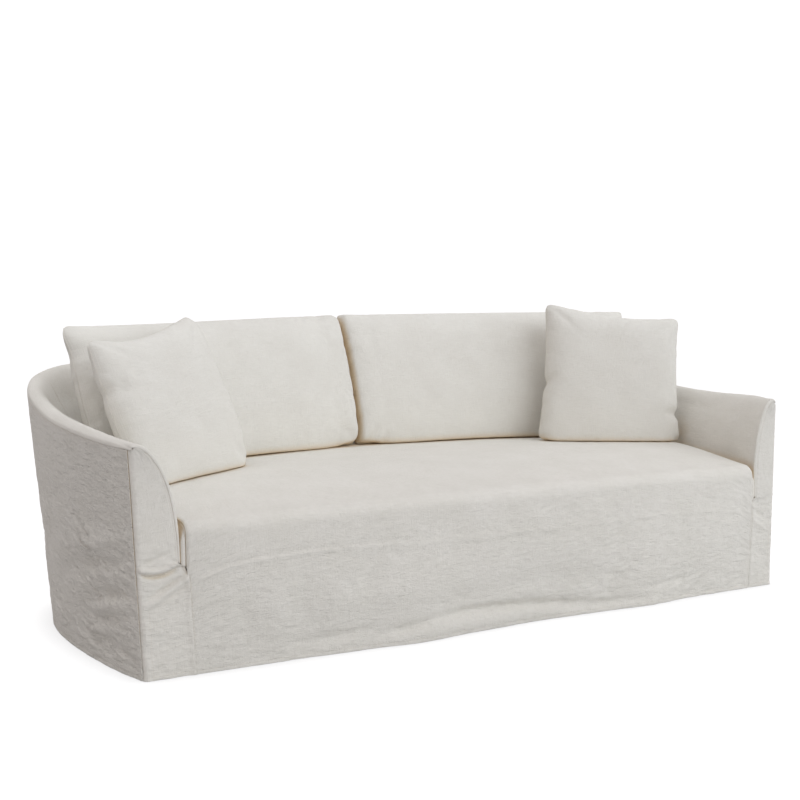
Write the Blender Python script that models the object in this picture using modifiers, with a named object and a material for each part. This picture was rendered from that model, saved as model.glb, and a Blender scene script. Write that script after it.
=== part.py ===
"""Fitted sofa slipcover with two back cushions and two throw pillows, in washed linen.

The cover is modelled as it hangs over a curved-back sofa, which is left out.
Its panels follow one half plan, a row of sections from the front corner to the
centre of the back. Each panel is an open sheet given its thickness by Solidify.
Each cushion is one closed form with a crowned face and back and a knife edge.

Frame: +Z up, the front towards -Y, the origin on the floor under the middle of
the bounding box. Metres throughout.
"""
import math
from collections import namedtuple

import bmesh
import bpy
from mathutils import Vector

# ---- driving dimensions ----
FRONT_Y = -0.558          # where distance 0 from the front lies in the frame
CLOTH = 0.0025            # thickness of the heavy linen
GAP = 0.0006              # clear space between two panels along their seam
NOTCH_HEIGHT = 0.288      # foot of the opening between the arm and the seat
TUCK_HEIGHT = 0.300       # lower edge of the inside panels
RAIL_ROLL = 0.075         # width of the rounding along the top of the rail
HEM_NARROWER = 1.15       # how much further in the right hem sits than its rail
SEAT_HALF = 1.017         # half the width of the seat
SKIRT_HALF = 0.999        # half the width of the front skirt at its hem
SEAT_FRONT_EDGE = 0.397   # height of the seat's side edge before it rises
SEAT_EDGE_RISE = 0.052    # how far that edge rises from the front backwards
SEAT_EDGE_DROP = 0.010    # how far it falls again behind the cushions
SEAT_DEPTH = 0.940        # front to back of the seat at its middle
SEAT_CORNER_CUT = 0.250   # how much shorter the seat is along its sides
SEAT_CROWN = 0.012        # rise of the seat from its sides to its middle
SEAT_CROWN_FRONT = 0.7    # share of that rise at the front edge
NOSE_RADIUS = 0.038       # rounding of the seat's front edge
SKIRT_FORWARD = 0.014     # how far the seat's front stands before distance 0
SKIRT_BELLY = 0.010       # how far the skirt swells between the seat and the hem
SIDE_STRIP_DEPTH = 0.64   # length of the strip beside the seat
CUSHION_HALF_THICK = 0.105
PILLOW_HALF_THICK = 0.085

# One row a section, from the front corner to the centre of the back: the rail's
# outer seam and the hem in plan, the rail's height on the left and on the right,
# how high the rail's rounding rises, how far inward the inside panel's foot lies,
# how full the inside panel's curve is, and how much narrower the right side sits.
Section = namedtuple("Section", (
    "rail_x rail_y hem_x hem_y height_left height_right crest reach fullness right_in"))
SECTIONS = (
    Section(1.163, 0.018, 1.137, 0.000, 0.613, 0.624, 0.006, 0.135, 2.30, 0.025),
    Section(1.190, 0.150, 1.158, 0.140, 0.618, 0.618, 0.012, 0.140, 2.40, 0.022),
    Section(1.200, 0.350, 1.168, 0.340, 0.628, 0.611, 0.016, 0.145, 2.40, 0.016),
    Section(1.198, 0.560, 1.161, 0.545, 0.645, 0.619, 0.018, 0.150, 2.30, 0.010),
    Section(1.184, 0.740, 1.136, 0.705, 0.679, 0.650, 0.018, 0.160, 2.00, 0.005),
    Section(1.148, 0.880, 1.096, 0.830, 0.706, 0.690, 0.018, 0.190, 1.60, 0.000),
    Section(1.085, 0.995, 1.035, 0.945, 0.730, 0.722, 0.018, 0.215, 1.35, 0.000),
    Section(0.975, 1.080, 0.935, 1.038, 0.750, 0.745, 0.018, 0.220, 1.30, 0.000),
    Section(0.800, 1.117, 0.780, 1.080, 0.760, 0.757, 0.018, 0.220, 1.30, 0.000),
    Section(0.400, 1.142, 0.400, 1.108, 0.764, 0.763, 0.018, 0.220, 1.30, 0.000),
    Section(0.000, 1.150, 0.000, 1.115, 0.765, 0.765, 0.018, 0.220, 1.30, 0.000),
)
CENTRE = len(SECTIONS) - 1.0
CORNER = 6.0              # the section where an arm's panels meet the back's
OUTSIDE_JOIN = 0.0025     # the outside panels' edges to that section, in sections
INSIDE_JOIN = 0.010       # the inside panels' edges to it, where the bend is tighter
FRONT_START = 0.002       # the arm panels' front edges, behind the arm front

# The front hem's waves: distance across from the middle, and how far forward.
Wave = namedtuple("Wave", "across forward")
HEM_WAVES = (
    Wave(-1.00, 0.001), Wave(-0.72, 0.005), Wave(-0.50, 0.017), Wave(-0.30, 0.034),
    Wave(-0.10, 0.014), Wave(0.13, 0.000), Wave(0.38, 0.010), Wave(0.56, 0.022),
    Wave(0.76, 0.004), Wave(1.00, 0.001),
)

# Main folds: the panel, the middle of the fold as shares of the panel's width and
# height, half its length and half its width in metres, its slope in degrees, and
# its height, which is negative for a trough.
Fold = namedtuple("Fold", "panel across up length width slope height")
FOLDS = (
    Fold("arm_front_left", 0.50, 0.43, 0.070, 0.014, 6, 0.009),
    Fold("arm_front_left", 0.55, 0.37, 0.060, 0.016, 28, -0.006),
    Fold("arm_front_right", 0.50, 0.40, 0.060, 0.016, -20, -0.004),
    Fold("outside_arm_left", 0.25, 0.22, 0.200, 0.060, -24, -0.010),
    Fold("outside_arm_left", 0.62, 0.40, 0.220, 0.060, -16, -0.007),
    Fold("outside_arm_left", 0.45, 0.12, 0.180, 0.050, -18, 0.008),
    Fold("outside_arm_right", 0.35, 0.25, 0.200, 0.060, 20, -0.008),
    Fold("outside_back", 0.30, 0.30, 0.260, 0.070, 10, -0.007),
    Fold("outside_back", 0.72, 0.42, 0.240, 0.070, -8, -0.006),
    Fold("seat_panel", 0.42, 0.10, 0.160, 0.045, 4, -0.010),
    Fold("seat_panel", 0.60, 0.13, 0.200, 0.045, -5, -0.008),
    Fold("seat_panel", 0.28, 0.16, 0.150, 0.045, 8, 0.006),
)

# The leaning surface that the back cushions lie along, at its foot and its top.
Lean = namedtuple("Lean", "across back bend power height")
LEAN_FOOT = Lean(1.040, 0.875, 0.285, 2.5, 0.449)
LEAN_TOP = Lean(1.088, 1.020, 0.262, 2.2, 0.896)

# Each throw pillow's corners: across, distance from the front, height.
Corners = namedtuple("Corners", "top_left top_right foot_right foot_left")
PILLOW_CORNERS = {
    "throw_pillow_left": Corners(
        (-1.104, 0.497, 0.876), (-0.666, 0.750, 0.921),
        (-0.541, 0.606, 0.4540), (-1.000, 0.352, 0.4452)),
    "throw_pillow_right": Corners(
        (0.684, 0.712, 0.936), (1.112, 0.472, 0.880),
        (1.046, 0.383, 0.4455), (0.588, 0.625, 0.4575)),
}


def clear_scene():
    for thing in list(bpy.data.objects):
        bpy.data.objects.remove(thing, do_unlink=True)


def linen(name, colour, roughness=0.92):
    """One cloth finish: ivory linen, matt, never metallic."""
    material = bpy.data.materials.new(name)
    material.use_nodes = True
    shader = material.node_tree.nodes["Principled BSDF"]
    shader.inputs["Base Color"].default_value = (*colour, 1.0)
    shader.inputs["Roughness"].default_value = roughness
    shader.inputs["Metallic"].default_value = 0.0
    material.diffuse_color = (*colour, 1.0)
    return material


# ---- curves through the tables ----
def through(rows, column, place):
    """A smooth curve through one column of a table, at a fractional row."""
    last = len(rows) - 1
    row = min(max(int(math.floor(place)), 0), last - 1)
    share = place - row
    value = [getattr(rows[min(max(row + step, 0), last)], column) for step in (-1, 0, 1, 2)]
    if row == 0:
        value[0] = 2.0 * value[1] - value[2]
    if row == last - 1:
        value[3] = 2.0 * value[2] - value[1]
    return 0.5 * (
        2.0 * value[1]
        + (value[2] - value[0]) * share
        + (2.0 * value[0] - 5.0 * value[1] + 4.0 * value[2] - value[3]) * share ** 2
        + (3.0 * value[1] - value[0] - 3.0 * value[2] + value[3]) * share ** 3)


def mix(low, high, share):
    return low + (high - low) * share


def smooth(share):
    share = min(max(share, 0.0), 1.0)
    return share * share * (3.0 - 2.0 * share)


def half_plan(place):
    """Side and section of a place along the whole plan, left front to right front."""
    return (-1.0, place) if place <= CENTRE else (1.0, 2.0 * CENTRE - place)


def narrower(side, section):
    """How far the right side sits in from the half plan; the left sits on it."""
    return through(SECTIONS, "right_in", section) if side > 0 else 0.0


def rail_point(side, section):
    """The seam along the outer edge of the rail."""
    column = "height_left" if side < 0 else "height_right"
    return Vector((
        side * (through(SECTIONS, "rail_x", section) - narrower(side, section)),
        FRONT_Y + through(SECTIONS, "rail_y", section),
        through(SECTIONS, column, section)))


def hem_point(side, section):
    return Vector((
        side * (through(SECTIONS, "hem_x", section) - HEM_NARROWER * narrower(side, section)),
        FRONT_Y + through(SECTIONS, "hem_y", section), 0.0))


def inward(side, section):
    """The plan direction from the rail towards the inside of the cover."""
    step = 0.05
    before = rail_point(side, max(section - step, 0.0))
    after = rail_point(side, min(section + step, CENTRE))
    if section > CENTRE - step:
        after = Vector((-side * step, before.y, 0.0))
    along = after - before
    normal = Vector((-along.y, along.x, 0.0)) * (1.0 if side > 0 else -1.0)
    return normal.normalized()


def fold_height(panel, across, up, width, height):
    """The sum of the main folds of a panel at one place on it."""
    total = 0.0
    for fold in FOLDS:
        if fold.panel != panel:
            continue
        dx = (across - fold.across) * width
        dz = (up - fold.up) * height
        slope = math.radians(fold.slope)
        along = (dx * math.cos(slope) + dz * math.sin(slope)) / fold.length
        off = (dz * math.cos(slope) - dx * math.sin(slope)) / fold.width
        total += fold.height * math.exp(-along ** 2 - off ** 2)
    return total


# ---- the panels' surfaces ----
def outside_surface(panel, first, last):
    """From the hem up to the rail's seam, between two places along the plan."""
    section_width = 0.25

    def place(u, v):
        along = mix(first, last, u)
        side, section = half_plan(along)
        hem = hem_point(side, section)
        rail = rail_point(side, section)
        top = rail.z - 0.5 * CLOTH - GAP
        point = hem.lerp(rail, v * top / rail.z)
        width = section_width * abs(last - first)
        fold = fold_height(panel, u, v, width, top)
        return point - inward(side, section) * fold * math.sin(math.pi * min(u, 1 - u) * 2)
    return place


def inside_profile(side, section, turn):
    """A point of the inside panel: turn 0 at the rail's seam, 1 at its foot."""
    power = 2.0 / through(SECTIONS, "fullness", section)
    angle = 0.5 * math.pi * turn
    depth = through(SECTIONS, "reach", section) - narrower(side, section)
    reach = depth * math.sin(angle) ** power
    rail = rail_point(side, section)
    fall = (rail.z - TUCK_HEIGHT) * (1.0 - max(math.cos(angle), 0.0) ** power)
    rise = 0.0
    if reach < RAIL_ROLL:
        rise = through(SECTIONS, "crest", section) * math.sin(math.pi * reach / RAIL_ROLL)
    point = rail + inward(side, section) * reach
    point.z += rise - fall
    return point


def inside_surface(first, last):
    """From the rail's outer seam over the rail and down inside to the tuck."""
    def place(u, v):
        side, section = half_plan(mix(first, last, u))
        power = 2.0 / through(SECTIONS, "fullness", section)
        depth = through(SECTIONS, "reach", section)
        start = math.asin((0.5 * CLOTH / depth) ** (1.0 / power)) / (0.5 * math.pi)
        return inside_profile(side, section, mix(1.0, start, v))
    return place


def arm_outer_x(side, height):
    """Half width over the outer front edge of an arm at a height."""
    rail = rail_point(side, 0.0)
    return mix(abs(hem_point(side, 0.0).x), abs(rail.x), height / rail.z)


def arm_front_surface(side):
    """The front of an arm, from the hem to its narrow top at the rail."""
    panel = "arm_front_left" if side < 0 else "arm_front_right"
    notch_share = 0.45
    top_turn = 0.12

    def place(u, v):
        if v <= notch_share:
            height = NOTCH_HEIGHT * v / notch_share
            inner_x = mix(SKIRT_HALF, SEAT_HALF, v / notch_share) + GAP
        else:
            turn = mix(1.0, top_turn, (v - notch_share) / (1.0 - notch_share))
            inner = inside_profile(side, 0.0, turn)
            height = mix(NOTCH_HEIGHT, inner.z, min(1.0, (1.0 - turn) * 12.0))
            inner_x = abs(inner.x)
        outer_x = arm_outer_x(side, height) + 0.5 * CLOTH
        across = mix(outer_x, inner_x, u) if side < 0 else mix(inner_x, outer_x, u)
        front = SECTIONS[0]
        back = front.rail_y * height / front.height_left
        fold = fold_height(panel, u, v, front.reach, front.height_left)
        fold *= math.sin(math.pi * u)
        return Vector((side * across, FRONT_Y + back - 0.5 * CLOTH - GAP - fold, height))
    return place


def seat_edge_height(distance):
    """Height of the seat's side edge at a distance from the front."""
    rise = SEAT_EDGE_RISE * smooth((distance + 0.13) / 0.55)
    return SEAT_FRONT_EDGE + rise - SEAT_EDGE_DROP * smooth((distance - 0.40) / 0.50)


def seat_back_distance(across):
    """Distance from the front to the seat's back edge at a place across."""
    return SEAT_DEPTH - SEAT_CORNER_CUT * (abs(across) / SEAT_HALF) ** 10


def seat_top_height(across, distance):
    share = abs(across) / SEAT_HALF
    height = SEAT_CROWN * mix(SEAT_CROWN_FRONT, 1.0, smooth(distance / 0.4))
    return seat_edge_height(distance) + height * (1.0 - share ** 2.4)


def hem_forward(across):
    """How far the front hem stands before distance 0."""
    for before, after in zip(HEM_WAVES, HEM_WAVES[1:]):
        if across <= after.across:
            break
    share = (across - before.across) / (after.across - before.across)
    return mix(before.forward, after.forward, smooth(share))


def seat_surface(u, v):
    """Hem, skirt, nose and seat top in one length of cloth: v 0 at the hem."""
    skirt_share = 0.34
    nose_share = 0.48
    side = mix(-1.0, 1.0, u)
    across = side * SEAT_HALF
    middle = 1.0 - abs(side) ** 8
    nose_height = seat_top_height(across, NOSE_RADIUS) - NOSE_RADIUS
    if v <= skirt_share:
        share = v / skirt_share
        height = nose_height * share
        across = side * mix(SKIRT_HALF, SEAT_HALF, min(height / NOTCH_HEIGHT, 1.0))
        forward = mix(hem_forward(side), SKIRT_FORWARD * middle, smooth(share * 1.2))
        forward += SKIRT_BELLY * middle * math.sin(math.pi * smooth(share))
        fold = fold_height("seat_panel", u, v, 2.0 * SEAT_HALF, nose_height / skirt_share)
        return Vector((across, FRONT_Y - forward - fold, height))
    if v <= nose_share:
        angle = 0.5 * math.pi * (v - skirt_share) / (nose_share - skirt_share)
        distance = NOSE_RADIUS - (NOSE_RADIUS + SKIRT_FORWARD * middle) * math.cos(angle)
        height = nose_height + NOSE_RADIUS * math.sin(angle)
        return Vector((across, FRONT_Y + distance, height))
    share = (v - nose_share) / (1.0 - nose_share)
    distance = mix(NOSE_RADIUS, seat_back_distance(across), share)
    return Vector((across, FRONT_Y + distance, seat_top_height(across, distance)))


def side_strip_surface(side):
    """The strip down the side of the seat, from its front corner backwards."""
    inset = 0.5 * CLOTH + GAP
    front_corner = 0.018

    def place(u, v):
        distance = mix(front_corner, SIDE_STRIP_DEPTH, u)
        top = seat_edge_height(max(distance, NOSE_RADIUS)) - inset
        if distance < NOSE_RADIUS:
            lean_in = 1.0 - distance / NOSE_RADIUS
            top -= NOSE_RADIUS * (1.0 - math.sqrt(1.0 - lean_in ** 2)) + GAP
        low = NOTCH_HEIGHT + inset
        return Vector((side * SEAT_HALF, FRONT_Y + distance, mix(low, top, v)))
    return place


# ---- the cushions' forms ----
def cushion_outline(u, v, pinch, round_off):
    """Shares across and up of a knife-edged cushion whose sides draw in."""
    x = 2.0 * u - 1.0
    y = 2.0 * v - 1.0
    corner = 1.0 - round_off * (x * y) ** 4
    across = x * (1.0 - pinch * (1.0 - y * y)) * corner
    up = y * (1.0 - pinch * (1.0 - x * x)) * corner
    crown = max((1.0 - x * x) * (1.0 - y * y), 0.0) ** 0.55
    return 0.5 + 0.5 * across, 0.5 + 0.5 * up, crown


def lean_point(side, across, up):
    """A point of the leaning surface behind the back cushions."""
    rows = []
    for edge in (LEAN_FOOT, LEAN_TOP):
        x = edge.across * across
        back = edge.back - edge.bend * across ** edge.power
        rows.append(Vector((side * x, FRONT_Y + back, edge.height)))
    return rows[0].lerp(rows[1], up)


def back_cushion_form(side):
    centre_gap = 0.004
    foot_lift = 0.010
    step = 0.01

    def place(u, v, face):
        across, up, crown = cushion_outline(u, v, pinch=0.008, round_off=0.018)
        across = centre_gap + (1.0 - centre_gap) * across
        point = lean_point(side, across, up)
        sideways = lean_point(side, min(across + step, 1.0), up) - lean_point(
            side, max(across - step, 0.0), up)
        upward = lean_point(side, across, up + step) - lean_point(side, across, up - step)
        normal = sideways.cross(upward).normalized() * side
        point += normal * face * CUSHION_HALF_THICK * crown
        point.z += foot_lift * math.sin(math.pi * u) * (1.0 - v)
        return point
    return place


def throw_pillow_form(corners):
    places = [Vector((x, FRONT_Y + y, z)) for x, y, z in corners]
    top_left, top_right, foot_right, foot_left = places
    normal = (foot_right - foot_left).cross(top_left - foot_left).normalized()

    def place(u, v, face):
        across, up, crown = cushion_outline(u, v, pinch=0.045, round_off=0.015)
        top = top_left.lerp(top_right, across)
        foot = foot_left.lerp(foot_right, across)
        return foot.lerp(top, up) + normal * face * PILLOW_HALF_THICK * crown
    return place


def arm_span(side, join):
    """First and last place along the plan of an arm's panels."""
    first, last = FRONT_START, CORNER - join
    return (first, last) if side < 0 else (2.0 * CENTRE - first, 2.0 * CENTRE - last)


def back_span(join):
    return CORNER + join, 2.0 * CENTRE - CORNER - join


# ---- making the objects ----
def unit_grid(columns, rows):
    """A flat grid whose x and y both run from 0 to 1."""
    grid = bmesh.new()
    bmesh.ops.create_grid(grid, x_segments=columns, y_segments=rows, size=0.5)
    for vertex in grid.verts:
        vertex.co += Vector((0.5, 0.5, 0.0))
    return grid


def split_corner_cells(grid):
    """Split each corner cell towards the middle, so no face lies flat in the seam."""
    corners = [vertex for vertex in grid.verts if len(vertex.link_faces) == 1]
    for corner in corners:
        cell = corner.link_faces[0]
        inner = max(cell.verts, key=lambda vertex: (vertex.co - corner.co).length)
        bmesh.ops.connect_vert_pair(grid, verts=[corner, inner])


def add_object(name, grid, material, collection):
    mesh = bpy.data.meshes.new(name)
    grid.to_mesh(mesh)
    grid.free()
    mesh.materials.append(material)
    mesh.shade_smooth()
    thing = bpy.data.objects.new(name, mesh)
    collection.objects.link(thing)
    return thing


def add_sheet(name, surface, columns, rows, material, collection):
    """A sewn panel: a grid laid on its surface and given the cloth's thickness."""
    grid = unit_grid(columns, rows)
    for vertex in grid.verts:
        vertex.co = surface(vertex.co.x, vertex.co.y)
    thing = add_object(name, grid, material, collection)
    solid = thing.modifiers.new("cloth thickness", "SOLIDIFY")
    solid.thickness = CLOTH
    solid.offset = 0.0
    return thing


def add_cushion(name, form, columns, rows, material, collection):
    """A filled cushion: its face and its back meet in one knife edge."""
    whole = bmesh.new()
    for face in (1.0, -1.0):
        half = unit_grid(columns, rows)
        split_corner_cells(half)
        for vertex in half.verts:
            vertex.co = form(vertex.co.x, vertex.co.y, face)
        if face < 0.0:
            bmesh.ops.reverse_faces(half, faces=half.faces)
        shell = bpy.data.meshes.new("half")
        half.to_mesh(shell)
        half.free()
        whole.from_mesh(shell)
        bpy.data.meshes.remove(shell)
    bmesh.ops.remove_doubles(whole, verts=whole.verts, dist=0.00005)
    if whole.calc_volume(signed=True) < 0.0:
        bmesh.ops.reverse_faces(whole, faces=whole.faces)
    return add_object(name, whole, material, collection)


def main():
    clear_scene()
    collection = bpy.data.collections.new("sofa_slipcover")
    bpy.context.scene.collection.children.link(collection)
    cover = linen("washed_linen", (0.80, 0.79, 0.75))
    cushions = linen("cushion_linen", (0.84, 0.83, 0.79))

    for name, side in (("left", -1.0), ("right", 1.0)):
        outside = "outside_arm_" + name
        pillow = "throw_pillow_" + name
        surfaces = (
            (outside, outside_surface(outside, *arm_span(side, OUTSIDE_JOIN)), 13, 9),
            ("inside_arm_" + name, inside_surface(*arm_span(side, INSIDE_JOIN)), 13, 10),
            ("arm_front_" + name, arm_front_surface(side), 5, 24),
            ("seat_side_" + name, side_strip_surface(side), 10, 2),
        )
        for panel, surface, columns, rows in surfaces:
            add_sheet(panel, surface, columns, rows, cover, collection)
        form = back_cushion_form(side)
        add_cushion("back_cushion_" + name, form, 14, 10, cushions, collection)
        form = throw_pillow_form(PILLOW_CORNERS[pillow])
        add_cushion(pillow, form, 10, 10, cushions, collection)
    surfaces = (
        ("outside_back", outside_surface("outside_back", *back_span(OUTSIDE_JOIN)), 17, 7),
        ("inside_back", inside_surface(*back_span(INSIDE_JOIN)), 17, 10),
        ("seat_panel", seat_surface, 26, 26),
    )
    for panel, surface, columns, rows in surfaces:
        add_sheet(panel, surface, columns, rows, cover, collection)


main()
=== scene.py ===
"""The looks of a washed-linen sofa slipcover with its cushions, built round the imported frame.

Panels repeat the solids' formulas on a finer grid, with rolled edges, seams, hems, rows of
stitches, creases and washed-in wrinkles. Cushions are sewn flat and blown up by simulation.
Metres throughout, in the frame's own axes.
"""
import math
from collections import namedtuple
from functools import lru_cache

import bmesh
import bpy
import numpy as np
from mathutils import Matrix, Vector, noise


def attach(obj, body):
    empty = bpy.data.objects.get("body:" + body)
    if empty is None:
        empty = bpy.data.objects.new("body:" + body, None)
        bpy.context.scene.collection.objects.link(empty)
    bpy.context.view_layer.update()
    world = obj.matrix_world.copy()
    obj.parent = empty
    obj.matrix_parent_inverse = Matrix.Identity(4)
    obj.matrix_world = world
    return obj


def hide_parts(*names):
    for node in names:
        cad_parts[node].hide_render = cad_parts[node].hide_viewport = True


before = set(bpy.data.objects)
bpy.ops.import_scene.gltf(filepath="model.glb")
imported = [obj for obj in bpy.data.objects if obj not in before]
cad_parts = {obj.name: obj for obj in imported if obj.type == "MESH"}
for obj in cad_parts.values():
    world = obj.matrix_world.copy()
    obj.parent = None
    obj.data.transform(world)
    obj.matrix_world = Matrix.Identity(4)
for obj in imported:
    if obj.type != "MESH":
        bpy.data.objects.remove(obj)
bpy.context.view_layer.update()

# ---- driving dimensions, as in the solids ----
FRONT_Y = -0.558          # where distance 0 from the front lies in the frame
CLOTH = 0.0025            # thickness of the heavy linen
GAP = 0.0006              # clear space between two panels along their seam
NOTCH_HEIGHT = 0.288      # foot of the opening between the arm and the seat
TUCK_HEIGHT = 0.300       # lower edge of the inside panels
RAIL_ROLL = 0.075         # width of the rounding along the top of the rail
HEM_NARROWER = 1.15       # how much further in the right hem sits than its rail
SEAT_HALF = 1.017         # half the width of the seat
SKIRT_HALF = 0.999        # half the width of the front skirt at its hem
SEAT_FRONT_EDGE = 0.397   # height of the seat's side edge before it rises
SEAT_EDGE_RISE = 0.052    # how far that edge rises from the front backwards
SEAT_EDGE_DROP = 0.010    # how far it falls again behind the cushions
SEAT_DEPTH = 0.940        # front to back of the seat at its middle
SEAT_CORNER_CUT = 0.250   # how much shorter the seat is along its sides
SEAT_CROWN = 0.012        # rise of the seat from its sides to its middle
SEAT_CROWN_FRONT = 0.7    # share of that rise at the front edge
NOSE_RADIUS = 0.038       # rounding of the seat's front edge
SKIRT_FORWARD = 0.014     # how far the seat's front stands before distance 0
SKIRT_BELLY = 0.010       # how far the skirt swells between the seat and the hem
SIDE_STRIP_DEPTH = 0.64   # how far back the strip beside the seat reaches
CUSHION_HALF_THICK = 0.105
PILLOW_HALF_THICK = 0.085

# ---- sizes of the sewing ----
MESH_STEP = 0.0085        # spacing of a panel's grid
SEAT_TOP_STEP = 0.015     # and of the grid of the seat's top, behind its front edge
SEAT_TOP_ROWS = 55
EDGE_STEPS = (0.0, 0.0015, 0.003, 0.005, 0.007, 0.009, 0.011, 0.014, 0.019)
EDGE_ROLL = 0.013         # radius at which a panel rolls over to its neighbour
LAP_ROLL = 0.006          # radius at which the inside panel rolls over to the arm's front
WRAP = 0.003              # how far it then laps onto that front
SEAM_DROP = 0.009         # how far the rail's seam lies below the top
SEAT_ROLL = 0.008         # radius of the seat's side edges
HEM_DEPTH = 0.012         # depth of the turned hem
SKIRT_LAP = 0.004         # lap of the skirt's seam: arm over skirt left, skirt over arm right
STITCH_INSET = 0.006      # from a seam to the row of stitches beside it
SEAM_RADIUS = 0.0013      # of the roll of cloth along a cushion's seam
HEM_STITCHES = HEM_DEPTH - 0.002   # from the edge of the hem to its row of stitches
SEAM_VALLEY = 0.0006      # depth of the valley along a seam
SEAM_GROOVE = 0.0007      # and of the groove of its row of stitches
HEM_FOLD = 0.0012         # how far the doubled cloth of the hem stands out
HEM_GROOVE = 0.0018       # and how deep its row of stitches lies
CORNER_GAP = 0.0005       # from the back's outside corner to each panel that meets there
RAIL_EASE = 0.004         # rounding of the corners of the line over the rail
SEAT_EASE = 0.006         # and of the line from the hem to the back of the seat
STRIP_SWELL = 0.034       # how far the strip beside the seat may swell towards the arm
STRIP_CLEARANCE = 0.0018  # what it then leaves free before the arm
STRIP_FORWARD = 0.009     # how far it swells forward in the opening
ALL_EDGES = ("start", "end", "top", "foot")
# Points that the cloth goes round: under the cover and above its seat.
UNDER_COVER = (0.0, 0.1, 0.3)
ABOVE_SEAT = (0.0, -0.2, 0.9)

# The plan from the front of an arm to the middle of the back, from distance 0: the rail's
# seam and the hem below it, the rail's height on each side, the crest of its top, how far
# the inside reaches in and how full it is, and how much further in the right side sits.
Section = namedtuple("Section", (
    "rail_x rail_y hem_x hem_y height_left height_right crest reach fullness right_in"))
SECTIONS = (
    Section(1.163, 0.018, 1.137, 0.000, 0.613, 0.624, 0.006, 0.135, 2.30, 0.025),
    Section(1.190, 0.150, 1.158, 0.140, 0.618, 0.618, 0.012, 0.140, 2.40, 0.022),
    Section(1.200, 0.350, 1.168, 0.340, 0.628, 0.611, 0.016, 0.145, 2.40, 0.016),
    Section(1.198, 0.560, 1.161, 0.545, 0.645, 0.619, 0.018, 0.150, 2.30, 0.010),
    Section(1.184, 0.740, 1.136, 0.705, 0.679, 0.650, 0.018, 0.160, 2.00, 0.005),
    Section(1.148, 0.880, 1.096, 0.830, 0.706, 0.690, 0.018, 0.190, 1.60, 0.000),
    Section(1.085, 0.995, 1.035, 0.945, 0.730, 0.722, 0.018, 0.215, 1.35, 0.000),
    Section(0.975, 1.080, 0.935, 1.038, 0.750, 0.745, 0.018, 0.220, 1.30, 0.000),
    Section(0.800, 1.117, 0.780, 1.080, 0.760, 0.757, 0.018, 0.220, 1.30, 0.000),
    Section(0.400, 1.142, 0.400, 1.108, 0.764, 0.763, 0.018, 0.220, 1.30, 0.000),
    Section(0.000, 1.150, 0.000, 1.115, 0.765, 0.765, 0.018, 0.220, 1.30, 0.000),
)
CENTRE = len(SECTIONS) - 1.0
CORNER = 6.0              # the section where an arm's panels meet the back's

# How far the front hem stands forward, from one side of the sofa to the other.
Wave = namedtuple("Wave", "across forward")
HEM_WAVES = (
    Wave(-1.00, 0.001), Wave(-0.72, 0.005), Wave(-0.50, 0.017), Wave(-0.30, 0.034),
    Wave(-0.10, 0.014), Wave(0.13, 0.000), Wave(0.38, 0.010), Wave(0.56, 0.022),
    Wave(0.76, 0.004), Wave(1.00, 0.001),
)

# The middle of a back cushion at its foot and its top: how far across it reaches, how far
# back it stands, how far its outer end bends forward and how late, and its height.
Lean = namedtuple("Lean", "across back bend power height")
LEAN_FOOT = Lean(1.040, 0.875, 0.285, 2.5, 0.449)
LEAN_TOP = Lean(1.088, 1.020, 0.262, 2.2, 0.896)

# The corners of the middle of a throw pillow, from distance 0.
Corners = namedtuple("Corners", "top_left top_right foot_right foot_left")
PILLOW_CORNERS = {
    "throw_pillow_left": Corners(
        (-1.104, 0.497, 0.876), (-0.666, 0.750, 0.921),
        (-0.541, 0.606, 0.4540), (-1.000, 0.352, 0.4452)),
    "throw_pillow_right": Corners(
        (0.684, 0.712, 0.936), (1.112, 0.472, 0.880),
        (1.046, 0.383, 0.4455), (0.588, 0.625, 0.4575)),
}

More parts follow.
